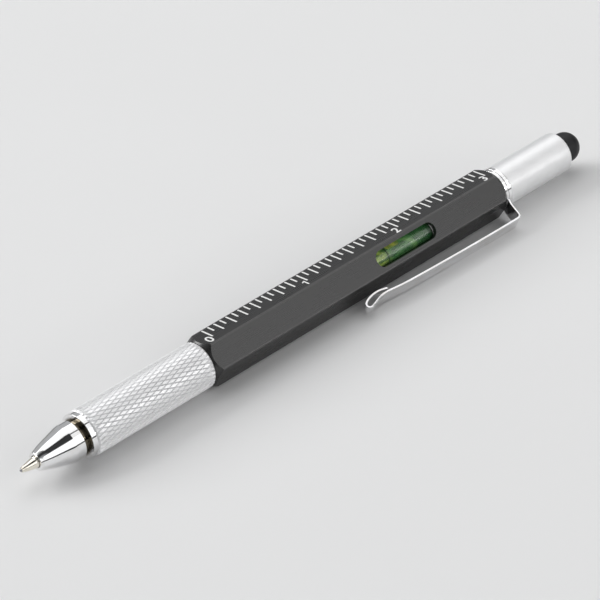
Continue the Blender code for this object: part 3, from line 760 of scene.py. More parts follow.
CHROME = {
    "colour": (0.90, 0.90, 0.91), "shade": (0.82, 0.81, 0.80),
    "roughness": 0.07, "spread": 0.04, "rings": 5.0, "depth": 0.0015,
}
POLISHED_CHROME = TurnedMetal("pen_polished_chrome", **CHROME)
GROOVE_SHADED_CHROME = GrooveShadedMetal("pen_grooved_chrome", **CHROME)
SATIN_ALUMINIUM = TurnedMetal(
    "pen_satin_aluminium", (0.90, 0.90, 0.905), (0.87, 0.87, 0.875),
    roughness=0.46, spread=0.08, rings=14.0, depth=0.003, metal=0.75,
)
TURNED_BRASS = TurnedMetal(
    "pen_turned_brass", (0.78, 0.60, 0.30), (0.62, 0.46, 0.22),
    roughness=0.26, spread=0.1, rings=6.0, depth=0.004,
)
NICKEL_SILVER = TurnedMetal(
    "pen_nickel_silver", (0.92, 0.88, 0.79), (0.84, 0.78, 0.67),
    roughness=0.16, spread=0.08, rings=9.0, depth=0.002,
)
CARBIDE = TurnedMetal(
    "pen_carbide", (0.42, 0.42, 0.44), (0.34, 0.34, 0.36),
    roughness=0.12, spread=0.04, rings=20.0, depth=0.001,
)
SPRING_STEEL = TurnedMetal(
    "pen_spring_steel", (0.62, 0.62, 0.64), (0.48, 0.47, 0.46),
    roughness=0.25, spread=0.1, rings=16.0, depth=0.002,
)
TOOL_STEEL = TurnedMetal(
    "pen_tool_steel", (0.46, 0.46, 0.48), (0.32, 0.32, 0.33),
    roughness=0.34, spread=0.12, rings=8.0, depth=0.005,
)
MAGNET_PLATE = TurnedMetal(
    "pen_magnet_plate", (0.66, 0.66, 0.68), (0.5, 0.5, 0.52),
    roughness=0.22, spread=0.1, rings=3.0, depth=0.003,
)
WHITE_ACETAL = Moulded(
    "pen_white_acetal", (0.80, 0.80, 0.77), (0.86, 0.86, 0.83), roughness=0.48, tooth=5.0, depth=0.004
)
MOULDED_BLACK = Moulded()
BLACK_RUBBER = Moulded(
    "pen_black_rubber", (0.007, 0.007, 0.008), (0.012, 0.012, 0.014),
    roughness=0.48, tooth=8.0, depth=0.010, gloss=0.34,
)
BLUE_INK = Moulded(
    "pen_blue_ink", (0.01, 0.016, 0.16), (0.02, 0.03, 0.24), roughness=0.25, tooth=1.0, depth=0.002
)
GAUGE_BAND = Moulded(
    "pen_gauge_band", (0.008, 0.030, 0.012), (0.015, 0.045, 0.018), roughness=0.4, tooth=6.0, depth=0.003
)


# Mesh tools


def tidied(bm: Solid) -> Solid:
    """Merges a solid's doubles and turns its faces outwards.

    Args:
        bm: The solid.

    Returns:
        The same solid.
    """
    bmesh.ops.remove_doubles(bm, verts=bm.verts, dist=WELD)
    bmesh.ops.recalc_face_normals(bm, faces=bm.faces)
    return bm


def turned(profile: Sequence[Point], steps: int = 96, closed: bool = True) -> Solid:
    """A solid turned about the pen's axis.

    Args:
        profile: Its half section as (x, radius) points.
        steps: Faces in a full turn.
        closed: Whether the section runs back to its first point, as a tube's does.

    Returns:
        The solid.
    """
    bm = bmesh.new()
    points = [bm.verts.new((x, radius, 0.0)) for x, radius in profile]
    edges = [bm.edges.new(pair) for pair in zip(points, points[1:])]
    if closed:
        edges.append(bm.edges.new((points[-1], points[0])))
    bmesh.ops.spin(
        bm,
        geom=[*points, *edges],
        axis=(1.0, 0.0, 0.0),
        cent=(0.0, 0.0, 0.0),
        angle=2 * math.pi,
        steps=steps,
        use_merge=True,
    )
    return tidied(bm)


def tube(front: float, back: float, outer: float, inner: float = 0.0, steps: int = 96) -> Solid:
    """A plain tube along the pen, or a rod where it has no bore.

    Args:
        front: Where it starts.
        back: Where it ends.
        outer: Its outer radius.
        inner: Its bore's radius.
        steps: Faces in a full turn.

    Returns:
        The solid.
    """
    profile = [(front, inner), (front, outer), (back, outer), (back, inner)]
    return turned(profile, steps, closed=inner > 0.0)


def disc(radius: float, sides: int, matrix: Matrix) -> Solid:
    """A flat polygon to extrude from.

    Args:
        radius: Its corners' distance from its middle.
        sides: How many sides it has.
        matrix: Where it lies.

    Returns:
        The polygon.
    """
    bm = bmesh.new()
    bmesh.ops.create_circle(bm, cap_ends=True, segments=sides, radius=radius, matrix=matrix)
    return bm


def raised(bm: Solid, along: Place) -> Solid:
    """Extrudes the first face of a flat shape.

    Args:
        bm: The flat shape.
        along: How far, along each axis.

    Returns:
        The same shape, as a solid.
    """
    top = bmesh.ops.extrude_face_region(bm, geom=[bm.faces[:][0]])["geom"]
    bmesh.ops.translate(bm, vec=along, verts=[part for part in top if isinstance(part, bmesh.types.BMVert)])
    return tidied(bm)


def hexagon(half_flat: float, front: float, back: float) -> Solid:
    """A hexagonal bar along the pen, its flats turned as the barrel's are.

    Args:
        half_flat: From its axis to a flat.
        front: Where it starts.
        back: Where it ends.

    Returns:
        The bar.
    """
    matrix = (
        Matrix.Translation((front, 0.0, 0.0))
        @ Matrix.Rotation(math.pi / 2, 4, "Y")
        @ Matrix.Rotation(math.pi / 6, 4, "Z")
    )
    face = disc(half_flat / math.cos(math.pi / 6), sides=6, matrix=matrix)
    return raised(face, (back - front, 0.0, 0.0))


def bevelled(bm: Solid, geom: list[Any], offset: float, segments: int, what: Bevel = Bevel.EDGES) -> Solid:
    """Bevels edges by a width, or vertices by a share of their edges.

    Args:
        bm: The solid.
        geom: Its edges or vertices to bevel.
        offset: The width, or for vertices the percentage.
        segments: Faces across the bevel.
        what: Whether it is edges or vertices.

    Returns:
        The same solid, tidied.
    """
    bmesh.ops.bevel(
        bm,
        geom=geom,
        offset=offset,
        offset_type=what.value,
        affect=what.name,
        segments=segments,
        profile=0.5,
        material=-1,
    )
    return tidied(bm)


def meshed(shape: Shape) -> Mesh:
    """Makes a mesh of a shape.

    Args:
        shape: The shape. A solid is freed, and a mesh is given back as it is.

    Returns:
        The mesh.
    """
    if isinstance(shape, Mesh):
        return shape
    mesh = bpy.data.meshes.new("part")
    shape.to_mesh(mesh)
    shape.free()
    return mesh


def joined(*shapes: Shape) -> Solid:
    """Joins shapes as they are.

    Args:
        shapes: The shapes.

    Returns:
        One solid that holds them all.
    """
    bm = bmesh.new()
    for shape in shapes:
        bm.from_mesh(meshed(shape))
    return bm


def worked(shape: Shape, *steps: tuple[str, Settings]) -> Mesh:
    """Works modifiers into a shape.

    Args:
        shape: The shape to start from.
        steps: The modifiers in order, each its type and its settings.

    Returns:
        The mesh as the modifiers leave it.
    """
    fixture = bpy.data.objects.new("fixture", meshed(shape))
    bpy.context.scene.collection.objects.link(fixture)
    for kind, settings in steps:
        modifier = fixture.modifiers.new(kind, kind)
        for key, value in settings.items():
            setattr(modifier, key, value)
    return evaluated(fixture)


def evaluated(fixture: bpy.types.Object) -> Mesh:
    """Makes a mesh of an object and removes the object.

    Args:
        fixture: The object, with its modifiers or its curve.

    Returns:
        The mesh that they give.
    """
    depsgraph = bpy.context.evaluated_depsgraph_get()
    made = bpy.data.meshes.new_from_object(fixture.evaluated_get(depsgraph), depsgraph=depsgraph)
    bpy.data.objects.remove(fixture)
    return made


def cut(shape: Shape, tool: Shape, how: Cut = Cut.REMOVE) -> Mesh:
    """Cuts a shape with another.

    Args:
        shape: The shape that is cut.
        tool: The shape that cuts it.
        how: Whether the tool's share is removed or kept.

    Returns:
        What is left.
    """
    cutter = bpy.data.objects.new("cutter", meshed(tool))
    bpy.context.scene.collection.objects.link(cutter)
    made = worked(shape, ("BOOLEAN", {"operation": how.value, "object": cutter, "solver": "EXACT"}))
    bpy.data.objects.remove(cutter)
    return made


def softened(shape: Shape, width: float, segments: int = 3, angle: float = 30.0) -> Mesh:
    """Rounds the sharp edges of a shape.

    Args:
        shape: The shape to start from.
        width: How wide the rounding is, in millimetres.
        segments: Faces across it.
        angle: The least angle of an edge that is rounded, in degrees.

    Returns:
        The mesh with its edges rounded.
    """
    sharp = {"limit_method": "ANGLE", "angle_limit": math.radians(angle), "use_clamp_overlap": True}
    return worked(shape, ("BEVEL", {"width": width, "segments": segments, **sharp}))


def smooth_route(points: Sequence[Vector], steps: int) -> list[Vector]:
    """A curve through the points.

    Args:
        points: The points, in order.
        steps: Steps of the curve from one point to the next.

    Returns:
        The curve's points.
    """
    ends = [points[0], *points, points[-1]]
    route = []
    for p0, p1, p2, p3 in zip(ends, ends[1:], ends[2:], ends[3:]):
        for step in range(steps):
            t = step / steps
            first = 2 * p1 + (p2 - p0) * t
            second = (2 * p0 - 5 * p1 + 4 * p2 - p3) * t**2
            third = (3 * p1 - p0 - 3 * p2 + p3) * t**3
            route.append((first + second + third) / 2)
    return [*route, points[-1]]


def arc(x: float, radius: float, reach: float, steps: int = 12) -> list[Point]:
    """A quarter of an ellipse as profile points, from its rim to the pen's axis.

    Args:
        x: Where its rim is.
        radius: Its rim's radius.
        reach: How far it runs to the axis, towards the nib where it is negative.
        steps: Steps from the rim to the axis.

    Returns:
        The points.
    """
    turns = [math.pi / 2 * step / steps for step in range(steps + 1)]
    return [(x + reach * math.sin(a), radius * math.cos(a) if a < math.pi / 2 else 0.0) for a in turns]


@dataclass
class Piece:
    """A finished piece: name, body, slot, finish, the CAD node it stands for and its sharp edges' angle."""

    name: str
    body: Body
    slot: str
    finish: Finish
    node: str | None = None
    sharp: float = 40.0

    def settle(self, shape: Shape) -> None:
        """Lays the piece on the table, gives it its finish and hangs it on its body.

        Args:
            shape: The piece in millimetres on the pen's axes.
        """
        mesh = meshed(shape)
        mesh.name = self.name
        mesh.shade_smooth()
        mesh.set_sharp_from_angle(angle=math.radians(self.sharp))
        mesh = worked(mesh, ("WEIGHTED_NORMAL", {"keep_sharp": True}))
        mesh.transform(PEN_TO_WORLD)
        mesh.materials.clear()
        mesh.materials.append(self.finish.material())
        piece = bpy.data.objects.new(self.name, mesh)
        bpy.context.scene.collection.objects.link(piece)
        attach(piece, self.body.value)
        if self.node:
            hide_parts(self.node)
        log.info("%s rides on %s, %d faces", self.name, self.body.value, len(mesh.polygons))


def dress(finish: Finish, *nodes: str) -> None:
    """Gives CAD nodes a finish and leaves their solids as they are.

    Args:
        finish: The finish.
        nodes: The nodes' names.
    """
    for node in nodes:
        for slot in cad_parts[node].material_slots:
            slot.material = finish.material()
        log.info("%s keeps its solid, in %s", node, finish.name)


# Sub-assemblies


@dataclass
class Barrel:
    """The hexagonal tube with its turned ends and the level's window."""

    front: float = -3.55
    back: float = 78.10
    flat: float = 4.85
    edge: float = 0.3
    bore: float = 4.0
    end: float = 4.62
    chamfer: float = 1.4
    window_middle: float = 49.40
    window_length: float = 16.6
    window_width: float = 3.6
    over: float = 1.0

    def prism(self) -> Solid:
        """The hexagonal bar.

        Returns:
            The bar, with its long edges rounded.
        """
        bm = hexagon(self.flat, self.front, self.back)
        long_edges = [e for e in bm.edges if abs(e.verts[0].co.x - e.verts[1].co.x) > self.edge]
        return bevelled(bm, long_edges, self.edge * math.tan(math.pi / 6), segments=4)

    def ends(self) -> Solid:
        """The turned shape that the bar is cut to.

        Returns:
            The shape, with the chamfers as its cones.
        """
        corner = self.flat / math.cos(math.pi / 6)
        slope = (corner - self.end) / self.chamfer
        run = self.chamfer + self.over / slope
        low = self.end - self.over * slope
        profile = [
            (self.front - self.over, 0.0), (self.front - self.over, low),
            (self.front + run, corner + self.over), (self.back - run, corner + self.over),
            (self.back + self.over, low), (self.back + self.over, 0.0),
        ]
        return turned(profile, steps=128, closed=False)

    def window(self) -> Solid:
        """What cuts the window through the level face.

        Returns:
            A bar with round ends.
        """
        bm = disc(self.window_width / 2, sides=32, matrix=Matrix.Identity(4))
        for side in (-1.0, 1.0):
            half = [v for v in bm.verts if v.co.x * side > WELD]
            reach = side * (self.window_length - self.window_width) / 2
            bmesh.ops.translate(bm, vec=(reach, 0.0, 0.0), verts=half)
        foot = self.bore - self.window_width / 2
        raised(bm, (0.0, 0.0, self.flat + self.over - foot))
        place = Matrix.Translation((self.window_middle, 0.0, foot))
        bmesh.ops.transform(bm, matrix=Face.LEVEL.frame @ place, verts=bm.verts)
        return tidied(bm)

    def build(self) -> None:
        """Cuts the barrel and dresses it."""
        shell = cut(self.prism(), self.ends(), Cut.KEEP)
        shell = cut(shell, tube(self.front - self.over, self.back + self.over, self.bore))
        shell = cut(shell, self.window())
        finish = BlackAnodised()
        barrel = Piece("barrel_shell", Body.BARREL, "black_anodised", finish, "hex_barrel", sharp=20.0)
        barrel.settle(shell)


@dataclass
class RulerScale:
    """The printed scale: 49 marks a sixteenth of an inch apart, and the numbers 0 to 3.

    A mark runs across the ruler face from outer to short, long or quarter. Each number is its text, its
    middle along the pen and across the face, and its height. The flag is the long upper stroke of the 1.
    """

    marks: int = 49
    step: float = 1.5875
    flat: float = 4.85
    skin: float = 0.02
    stroke: float = 0.37
    stroke_rounding: float = 0.111
    outer: float = 2.46
    short: float = 0.48
    long: float = -0.66
    quarter: float = -0.87
    numbers: tuple[tuple[str, float, float, float], ...] = (
        ("0", -1.20, -1.23, 2.25),
        ("1", 24.60, -1.32, 1.75),
        ("2", 49.50, -1.49, 2.10),
        ("3", 75.12, -1.49, 2.15),
    )
    weight: float = 0.05
    em_share: float = 1.38
    flag: Point = (24.30, -0.74)
    flag_size: Point = (0.66, 0.30)
    flag_turn: float = 28.0

    def inner(self, mark: int) -> float:
        """Where a mark ends, towards the numbers.

        Args:
            mark: Its number, from 0.

        Returns:
            The place across the face.
        """
        if mark % 4 == 0:
            return self.quarter
        return self.short if mark % 2 else self.long

    def laid(self, x: float, side: float) -> Matrix:
        """Where a slab at this place of the ruler face lies on the pen, a quarter of it sunk in the face."""
        return Face.RULER.frame @ Matrix.Translation((x, side, self.flat + self.skin / 4))

    def slab(self, bm: Solid, place: Point, size: Point, turn: float = 0.0) -> list[Any]:
        """Adds a thin slab on the ruler face.

        Args:
            bm: The solid to add it to.
            place: Its middle, along the pen and across the face.
            size: Its size along the pen and across the face.
            turn: How far it is turned, in degrees.

        Returns:
            Its corners.
        """
        turned_by = Matrix.Rotation(math.radians(turn), 4, "Z")
        matrix = self.laid(*place) @ turned_by @ Matrix.Diagonal((*size, self.skin, 1.0))
        return bmesh.ops.create_cube(bm, size=1.0, matrix=matrix)["verts"]

    def ticks(self) -> Solid:
        """All the marks.

        Returns:
            Thin bars with rounded corners.
        """
        bm = bmesh.new()
        upright = set()
        for mark in range(self.marks):
            length = self.outer - self.inner(mark)
            bar = self.slab(bm, (mark * self.step, self.outer - length / 2), (self.stroke, length))
            edges = {e for v in bar for e in v.link_edges}
            upright |= {e for e in edges if (e.verts[0].co - e.verts[1].co).length < 2 * self.skin}
        return bevelled(bm, list(upright), self.stroke_rounding, segments=2)

    def glyph(self, text: str, x: float, side: float, height: float) -> Mesh:
        """A number of the scale as a thin slab on the ruler face.

        Args:
            text: The number.
            x: Its middle along the pen.
            side: Its middle across the face.
            height: Its height.

        Returns:
            The slab.
        """
        curve = bpy.data.curves.new("glyph", "FONT")
        curve.body = text
        curve.size = height * self.em_share
        curve.extrude = self.skin / 2
        curve.offset = self.weight
        curve.resolution_u = 4
        carrier = bpy.data.objects.new("glyph", curve)
        bpy.context.scene.collection.objects.link(carrier)
        bpy.context.view_layer.update()
        corners = [Vector(corner) for corner in carrier.bound_box]
        mesh = evaluated(carrier)
        size = height / (corners[6].y - corners[0].y)
        centred = Matrix.Diagonal((size, size, 1.0, 1.0)) @ Matrix.Translation(-(corners[0] + corners[6]) / 2)
        mesh.transform(self.laid(x, side) @ centred)
        return mesh

    def build(self) -> None:
        """Prints the marks and the numbers."""
        finish = ScalePrint()
        Piece("ruler_ticks", Body.BARREL, "white_acetal", finish).settle(self.ticks())
        bm = joined(*(self.glyph(*number) for number in self.numbers))
        self.slab(bm, self.flag, self.flag_size, self.flag_turn)
        Piece("ruler_numbers", Body.BARREL, "white_acetal", finish).settle(tidied(bm))


@dataclass
class Level:
    """The vial behind the window, with its liquid, gauge bands, bubble and a pale band that paints a
    highlight at its tail.
    """

    front: float = 40.20
    back: float = 58.60
    radius: float = 2.1
    bore: float = 1.75
    nose: float = 0.9
    offset: float = 1.80
    rounding: float = 0.06
    liquid: float = 1.60
    liquid_front: float = 40.62
    liquid_nose: float = 0.5
    bands: tuple[float, ...] = (44.9, 56.7)
    band_width: float = 0.3
    band_sunk: float = 0.01
    band_proud: float = 0.015
    bubble_start: float = 45.15
    bubble_length: float = 4.5
    bubble_radius: float = 0.95
    bubble_reach: float = 1.045
    bubble_gap: float = 0.03
    plug: float = 1.2
    plug_gap: float = 0.05
    # Painted highlight: a pale band at the vial's tail end, for the bright arc of the glass end.
    highlight_band: float = 57.5
    highlight_band_width: float = 0.2

    def shifted(self, bm: Solid) -> Solid:
        """Moves a turned piece from the pen's axis to the vial's.

        Args:
            bm: The piece.

        Returns:
            The same piece, moved.
        """
        matrix = Face.LEVEL.frame @ Matrix.Translation((0.0, 0.0, self.offset))
        bmesh.ops.transform(bm, matrix=matrix, verts=bm.verts)
        return tidied(bm)

    def vial(self) -> Solid:
        """The vial's wall.

        Returns:
            A tube with a rounded nose.
        """
        base = self.front + self.nose
        outside = arc(base, self.radius, -self.nose)
        inside = arc(base, self.bore, self.radius - self.bore - self.nose)
        profile = [*reversed(outside), (self.back, self.radius), (self.back, self.bore), *inside]
        return self.shifted(turned(profile, closed=False))

    def filling(self) -> Solid:
        """The liquid.

        Returns:
            A rod that follows the vial's inside.
        """
        end = self.back - self.plug - self.plug_gap
        nose = arc(self.liquid_front + self.liquid_nose, self.liquid, -self.liquid_nose)
        return self.shifted(turned([*reversed(nose), (end, self.liquid), (end, 0.0)], closed=False))

    def band(self, middle: float, width: float) -> Solid:
        """A thin band around the vial."""
        inner, outer = self.radius - self.band_sunk, self.radius + self.band_proud
        return self.shifted(tube(middle - width / 2, middle + width / 2, outer, inner, steps=64))

    def bubble(self) -> Solid:
        """The bubble.

        Returns:
            A rod with round ends, high in the vial as the pen lies.
        """
        tail = self.bubble_start + self.bubble_length
        outside = arc(self.bubble_start + self.bubble_reach, self.bubble_radius, -self.bubble_reach)
        inside = arc(tail - self.bubble_reach, self.bubble_radius, self.bubble_reach)
        bm = turned([*reversed(outside), *inside], steps=48, closed=False)
        rise = self.bore - self.bubble_radius - self.bubble_gap
        place = (0.0, math.sin(PEN_TILT) * rise - self.offset, math.cos(PEN_TILT) * rise)
        bmesh.ops.translate(bm, vec=place, verts=bm.verts)
        return tidied(bm)

    def build(self) -> None:
        """Builds and dresses the level."""
        vial = Piece("vial_glass", Body.BARREL, "clear_acrylic", ClearAcrylic(), "vial_tube")
        vial.settle(softened(self.vial(), self.rounding))
        liquid = Piece("level_liquid", Body.BARREL, "green_liquid", LevelLiquid(), "vial_liquid")
        liquid.settle(self.filling())
        gauge = joined(*(self.band(middle, self.band_width) for middle in self.bands))
        Piece("vial_bands", Body.BARREL, "black_plastic", GAUGE_BAND).settle(tidied(gauge))
        # Painted highlight: the pale band at the tail end of the vial.
        highlight_band = self.band(self.highlight_band, self.highlight_band_width)
        Piece("vial_collar", Body.BARREL, "white_acetal", WHITE_ACETAL).settle(highlight_band)
        Piece("level_bubble", Body.BUBBLE, "air_bubble", AirBubble(), "vial_bubble").settle(self.bubble())
        dress(MOULDED_BLACK, "vial_plug", "vial_cradle")


@dataclass
class Clip:
    """The folded spring clip and its ring, clamped between the barrel and the holder's flange.

    The route holds the strip's stations as (x, half width, rise above the pen's axis).
    """

    ring_front: float = 78.15
    ring_back: float = 78.95
    ring: float = 4.6
    ring_bore: float = 4.0
    ring_rounding: float = 0.08
    sheet: float = 0.4
    rounding: float = 0.05
    steps: int = 6
    route: tuple[Place, ...] = (
        (78.50, 1.70, 4.60), (78.15, 1.70, 5.60), (77.92, 1.70, 7.00), (77.74, 1.70, 8.30),
        (77.40, 1.70, 8.86), (76.70, 1.70, 9.02), (75.10, 1.70, 9.04), (70.00, 1.70, 9.02),
        (62.00, 1.70, 8.90), (52.00, 1.70, 8.66), (45.10, 1.70, 8.42), (42.20, 1.70, 8.20),
        (40.00, 1.68, 7.98), (38.40, 1.52, 7.96), (36.96, 1.27, 8.27), (35.70, 1.06, 8.62),
        (34.90, 0.92, 8.78), (34.28, 0.85, 8.36), (34.40, 0.85, 7.62), (35.40, 0.90, 7.04),
        (37.05, 0.98, 6.64), (38.80, 1.00, 6.60), (40.90, 0.92, 6.98),
    )

    def arm(self) -> Mesh:
        """The bent strip, drawn along its route.

        Returns:
            The strip, with its edges rounded.
        """
        foot = Vector((*self.route[0][:2], (self.ring_bore + self.ring) / 2))
        bm = bmesh.new()
        ends = [bm.verts.new((foot.x, side * foot.y, foot.z)) for side in (-1, 1)]
        edge = bm.edges.new(ends)
        for station in smooth_route([Vector(place) for place in self.route], self.steps):
            made = bmesh.ops.extrude_edge_only(bm, edges=[edge])["geom"]
            moved = [part for part in made if isinstance(part, bmesh.types.BMVert)]
            for vert in moved:
                vert.co = (station.x, math.copysign(station.y, vert.co.y), station.z)
            edge = next(e for e in made if isinstance(e, bmesh.types.BMEdge) and set(e.verts) == set(moved))
        bmesh.ops.transform(bm, matrix=Face.CLIP.frame, verts=bm.verts)
        strip = worked(bm, ("SOLIDIFY", {"thickness": self.sheet, "offset": 0.0}))
        return softened(strip, self.rounding, segments=2, angle=60.0)

    def build(self) -> None:
        """Builds and dresses the clip."""
        ring = softened(tube(self.ring_front, self.ring_back, self.ring, self.ring_bore), self.ring_rounding)
        clip = Piece("spring_clip", Body.BARREL, "polished_chrome", RolledSteel(), "clip")
        clip.settle(joined(self.arm(), ring))


@dataclass
class Grip:
    """The knurled sleeve and the trim ring in front of it."""

    front: float = -33.40
    back: float = -3.65
    radius: float = 4.9
    wall: float = 0.85
    chamfer: float = 0.3
    starts: int = 34
    rows: int = 21
    depth: float = 0.22
    flat_percent: float = 68.0
    ring: float = 4.72
    ring_front: float = -34.60
    ring_gap: float = 0.05
    ring_rounding: float = 0.16
    neck: float = 3.5
    neck_front: float = -35.75
    socket: float = 3.35

    def knurl(self) -> Solid:
        """The sleeve with crossed helical grooves, as diamonds with flat tops.

        Each diamond is a pyramid on the grooves' crossings, and the bevel takes its point off at the radius.

        Returns:
            The sleeve.
        """
        first, last = self.front + self.chamfer, self.back - self.chamfer
        root, bore, rim = self.radius - self.depth, self.radius - self.wall, self.radius - self.chamfer
        crest = root + self.depth / (1 - self.flat_percent / 100)
        rows = [(first + (last - first) * row / self.rows, crest) for row in range(self.rows + 1)]
        profile = [(self.front, bore), (self.front, rim), *rows, (self.back, rim), (self.back, bore)]
        bm = turned(profile, steps=2 * self.starts)
        low, high = [], []
        for vert in bm.verts:
            if math.hypot(vert.co.y, vert.co.z) > self.radius:
                row = round((vert.co.x - first) / (last - first) * self.rows)
                turn = round(math.atan2(vert.co.z, vert.co.y) / math.pi * self.starts)
                (high if (row + turn) % 2 else low).append(vert)
        for vert in low:
            vert.co.yz = vert.co.yz * (root / crest)
        ends = [v for v in high if not first + self.chamfer < v.co.x < last - self.chamfer]
        for vert in ends:
            vert.co.yz = vert.co.yz * (self.radius / crest)
        bmesh.ops.connect_verts(bm, verts=low)
        tops = [v for v in high if v not in ends]
        return bevelled(bm, tops, self.flat_percent, segments=1, what=Bevel.VERTICES)

    def build(self) -> None:
        """Builds and dresses the grip."""
        finish = KnurledMetal()
        sleeve = Piece("knurled_sleeve", Body.GRIP, "knurled_aluminium", finish, "grip_sleeve", sharp=8.0)
        sleeve.settle(self.knurl())
        back = self.front - self.ring_gap
        section = [
            (self.neck_front, self.neck), (self.ring_front, self.neck), (self.ring_front, self.ring),
            (back, self.ring), (back, self.socket), (self.neck_front, self.socket),
        ]
        ring = Piece("trim_ring", Body.GRIP, "polished_chrome", GROOVE_SHADED_CHROME, "front_ring")
        ring.settle(softened(turned(section), self.ring_rounding))
        dress(TURNED_BRASS, "grip_liner")


@dataclass
class Nose:
    """The polished cone around the refill. Its outside is given in shares of its length and its belt."""

    front: float = -45.0
    back: float = -35.80
    belt: float = 4.0
    shares: tuple[Point, ...] = (
        (0.0, 0.47), (0.02, 0.485), (0.2, 0.65), (0.42, 0.79), (0.62, 0.915), (0.7, 0.965), (0.78, 1.0),
    )
    spigot: float = 3.3
    spigot_back: float = -25.20
    chamber: float = 2.2
    chamber_front: float = -42.0
    mouth: float = 1.3
    rounding: float = 0.08

    def build(self) -> None:
        """Turns the cone and polishes it."""
        length = self.back - self.front
        stations = [Vector((self.front + x * length, r * self.belt)) for x, r in self.shares[1:]]
        outside = [(v.x, min(v.y, self.belt)) for v in smooth_route(stations, steps=5)]
        inside = [
            (self.back, self.belt), (self.back, self.spigot),
            (self.spigot_back, self.spigot), (self.spigot_back, self.chamber),
            (self.chamber_front, self.chamber), (self.chamber_front, self.mouth),
            (self.front, self.mouth), (self.front, self.shares[0][1] * self.belt),
        ]
        cone = softened(turned([*outside, *inside], steps=128), self.rounding, angle=35.0)
        Piece("polished_cone", Body.GRIP, "polished_chrome", POLISHED_CHROME, "nose_cone").settle(cone)


@dataclass
class Refill:
    """The writing tip and its ball; the tube, ink and spring behind them keep their solids.

    The lip is the tip's outside behind its front, from the rolled mouth to the foot of the taper.
    """

    nib: float = -48.80
    front: float = -48.45
    ball: float = 0.35
    ball_gap: float = 0.01
    seat_gap: float = 0.05
    lip: tuple[Point, ...] = ((-0.03, 0.38), (-0.01, 0.46), (0.12, 0.52), (0.55, 0.58), (0.62, 0.66))
    channel: float = 0.2
    radius: float = 1.175
    length: float = 8.6
    shoulder_share: float = 0.378
    shoulder_run: float = 0.5
    shoulder_fall: float = 0.06
    stem: float = 0.9
    stem_length: float = 4.0

    def tip(self) -> Solid:
        """The turned tip.

        Returns:
            Rolled mouth, taper, step and shank in one.
        """
        shoulder = self.front + self.shoulder_share * self.length
        back = self.front + self.length
        end = back + self.stem_length
        seat = self.nib + 2 * self.ball + self.seat_gap
        profile = [
            *((self.front + x, radius) for x, radius in self.lip),
            (shoulder - self.shoulder_run, self.radius - self.shoulder_fall), (shoulder, self.radius),
            (back, self.radius), (back, self.stem), (end, self.stem), (end, self.channel),
            (seat, self.channel), (seat, self.ball + self.ball_gap),
        ]
        return turned(profile, steps=64)

    def build(self) -> None:
        """Builds the tip and its ball, and dresses what is behind them."""
        Piece("writing_tip", Body.REFILL, "nickel_silver", NICKEL_SILVER, "refill_tip").settle(self.tip())
        ball = bmesh.new()
        place = Matrix.Translation((self.front, 0.0, 0.0))
        bmesh.ops.create_uvsphere(ball, u_segments=32, v_segments=16, radius=self.ball, matrix=place)
        Piece("tip_ball", Body.REFILL, "carbide", CARBIDE, "writing_ball", sharp=60.0).settle(tidied(ball))
        dress(TURNED_BRASS, "refill_tube")
        dress(BLUE_INK, "refill_ink")
        dress(SPRING_STEEL, "return_spring")


@dataclass
class TwistMechanism:
    """What turns the grip's twist into the refill's slide, inside the barrel."""

    def build(self) -> None:
        """Dresses the mechanism's solids."""
        dress(TURNED_BRASS, "twist_guide")
        dress(WHITE_ACETAL, "twist_cam", "refill_carrier")
        dress(SPRING_STEEL, "guide_retainer")
        dress(TOOL_STEEL, "carrier_pin")


@dataclass
class BitHolder:
    """The flange, screw thread and hexagonal socket at the barrel's tail, with the bit's magnet."""

    front: float = 65.95
    seat: float = 3.95
    flange_front: float = 79.00
    flange_back: float = 79.90
    flange: float = 4.6
    rounding: float = 0.07
    thread: float = 3.3
    root: float = 2.97
    root_sunk: float = 0.02
    pitch: float = 1.0
    turns: int = 6
    steps: int = 40
    ridge_half: float = 0.42
    ridge_top: float = 0.06
    back: float = 85.90
    end_run: float = 0.3
    end_fall: float = 0.25
    hole: float = 4.1
    over: float = 1.0

    def body(self) -> Mesh:
        """The turned body.

        Returns:
            The body, with its hexagonal hole.
        """
        profile = [
            (self.front, 0.0), (self.front, self.seat), (self.flange_front, self.seat),
            (self.flange_front, self.flange), (self.flange_back, self.flange), (self.flange_back, self.root),
            (self.back - self.end_run, self.root), (self.back, self.root - self.end_fall), (self.back, 0.0),
        ]
        solid = softened(turned(profile, closed=False), self.rounding)
        return cut(solid, hexagon(self.hole / 2, self.front - self.over, self.back + self.over))

    def ridge(self) -> Solid:
        """The thread's ridge.

        Returns:
            The ridge, wound from inside the flange to the end.
        """
        start, foot = self.flange_back - self.pitch, self.root - self.root_sunk
        low, high = self.ridge_half - self.ridge_top, self.ridge_half + self.ridge_top
        section = [(0.0, foot), (low, self.thread), (high, self.thread), (2 * self.ridge_half, foot)]
        bm = bmesh.new()
        face = bm.faces.new([bm.verts.new((start + x, radius, 0.0)) for x, radius in section])
        bmesh.ops.spin(
            bm,
            geom=[face],
            axis=(1.0, 0.0, 0.0),
            cent=(0.0, 0.0, 0.0),
            dvec=(self.pitch / self.steps, 0.0, 0.0),
            angle=2 * math.pi * self.turns,
            steps=self.steps * self.turns,
            use_duplicate=False,
        )
        return tidied(bm)

    def build(self) -> None:
        """Builds and dresses the holder and its magnet."""
        holder = Piece("threaded_holder", Body.BARREL, "polished_chrome", POLISHED_CHROME, "bit_holder")
        holder.settle(joined(self.body(), self.ridge()))
        dress(MAGNET_PLATE, "bit_magnet")
        dress(TOOL_STEEL, "screwdriver_bit")


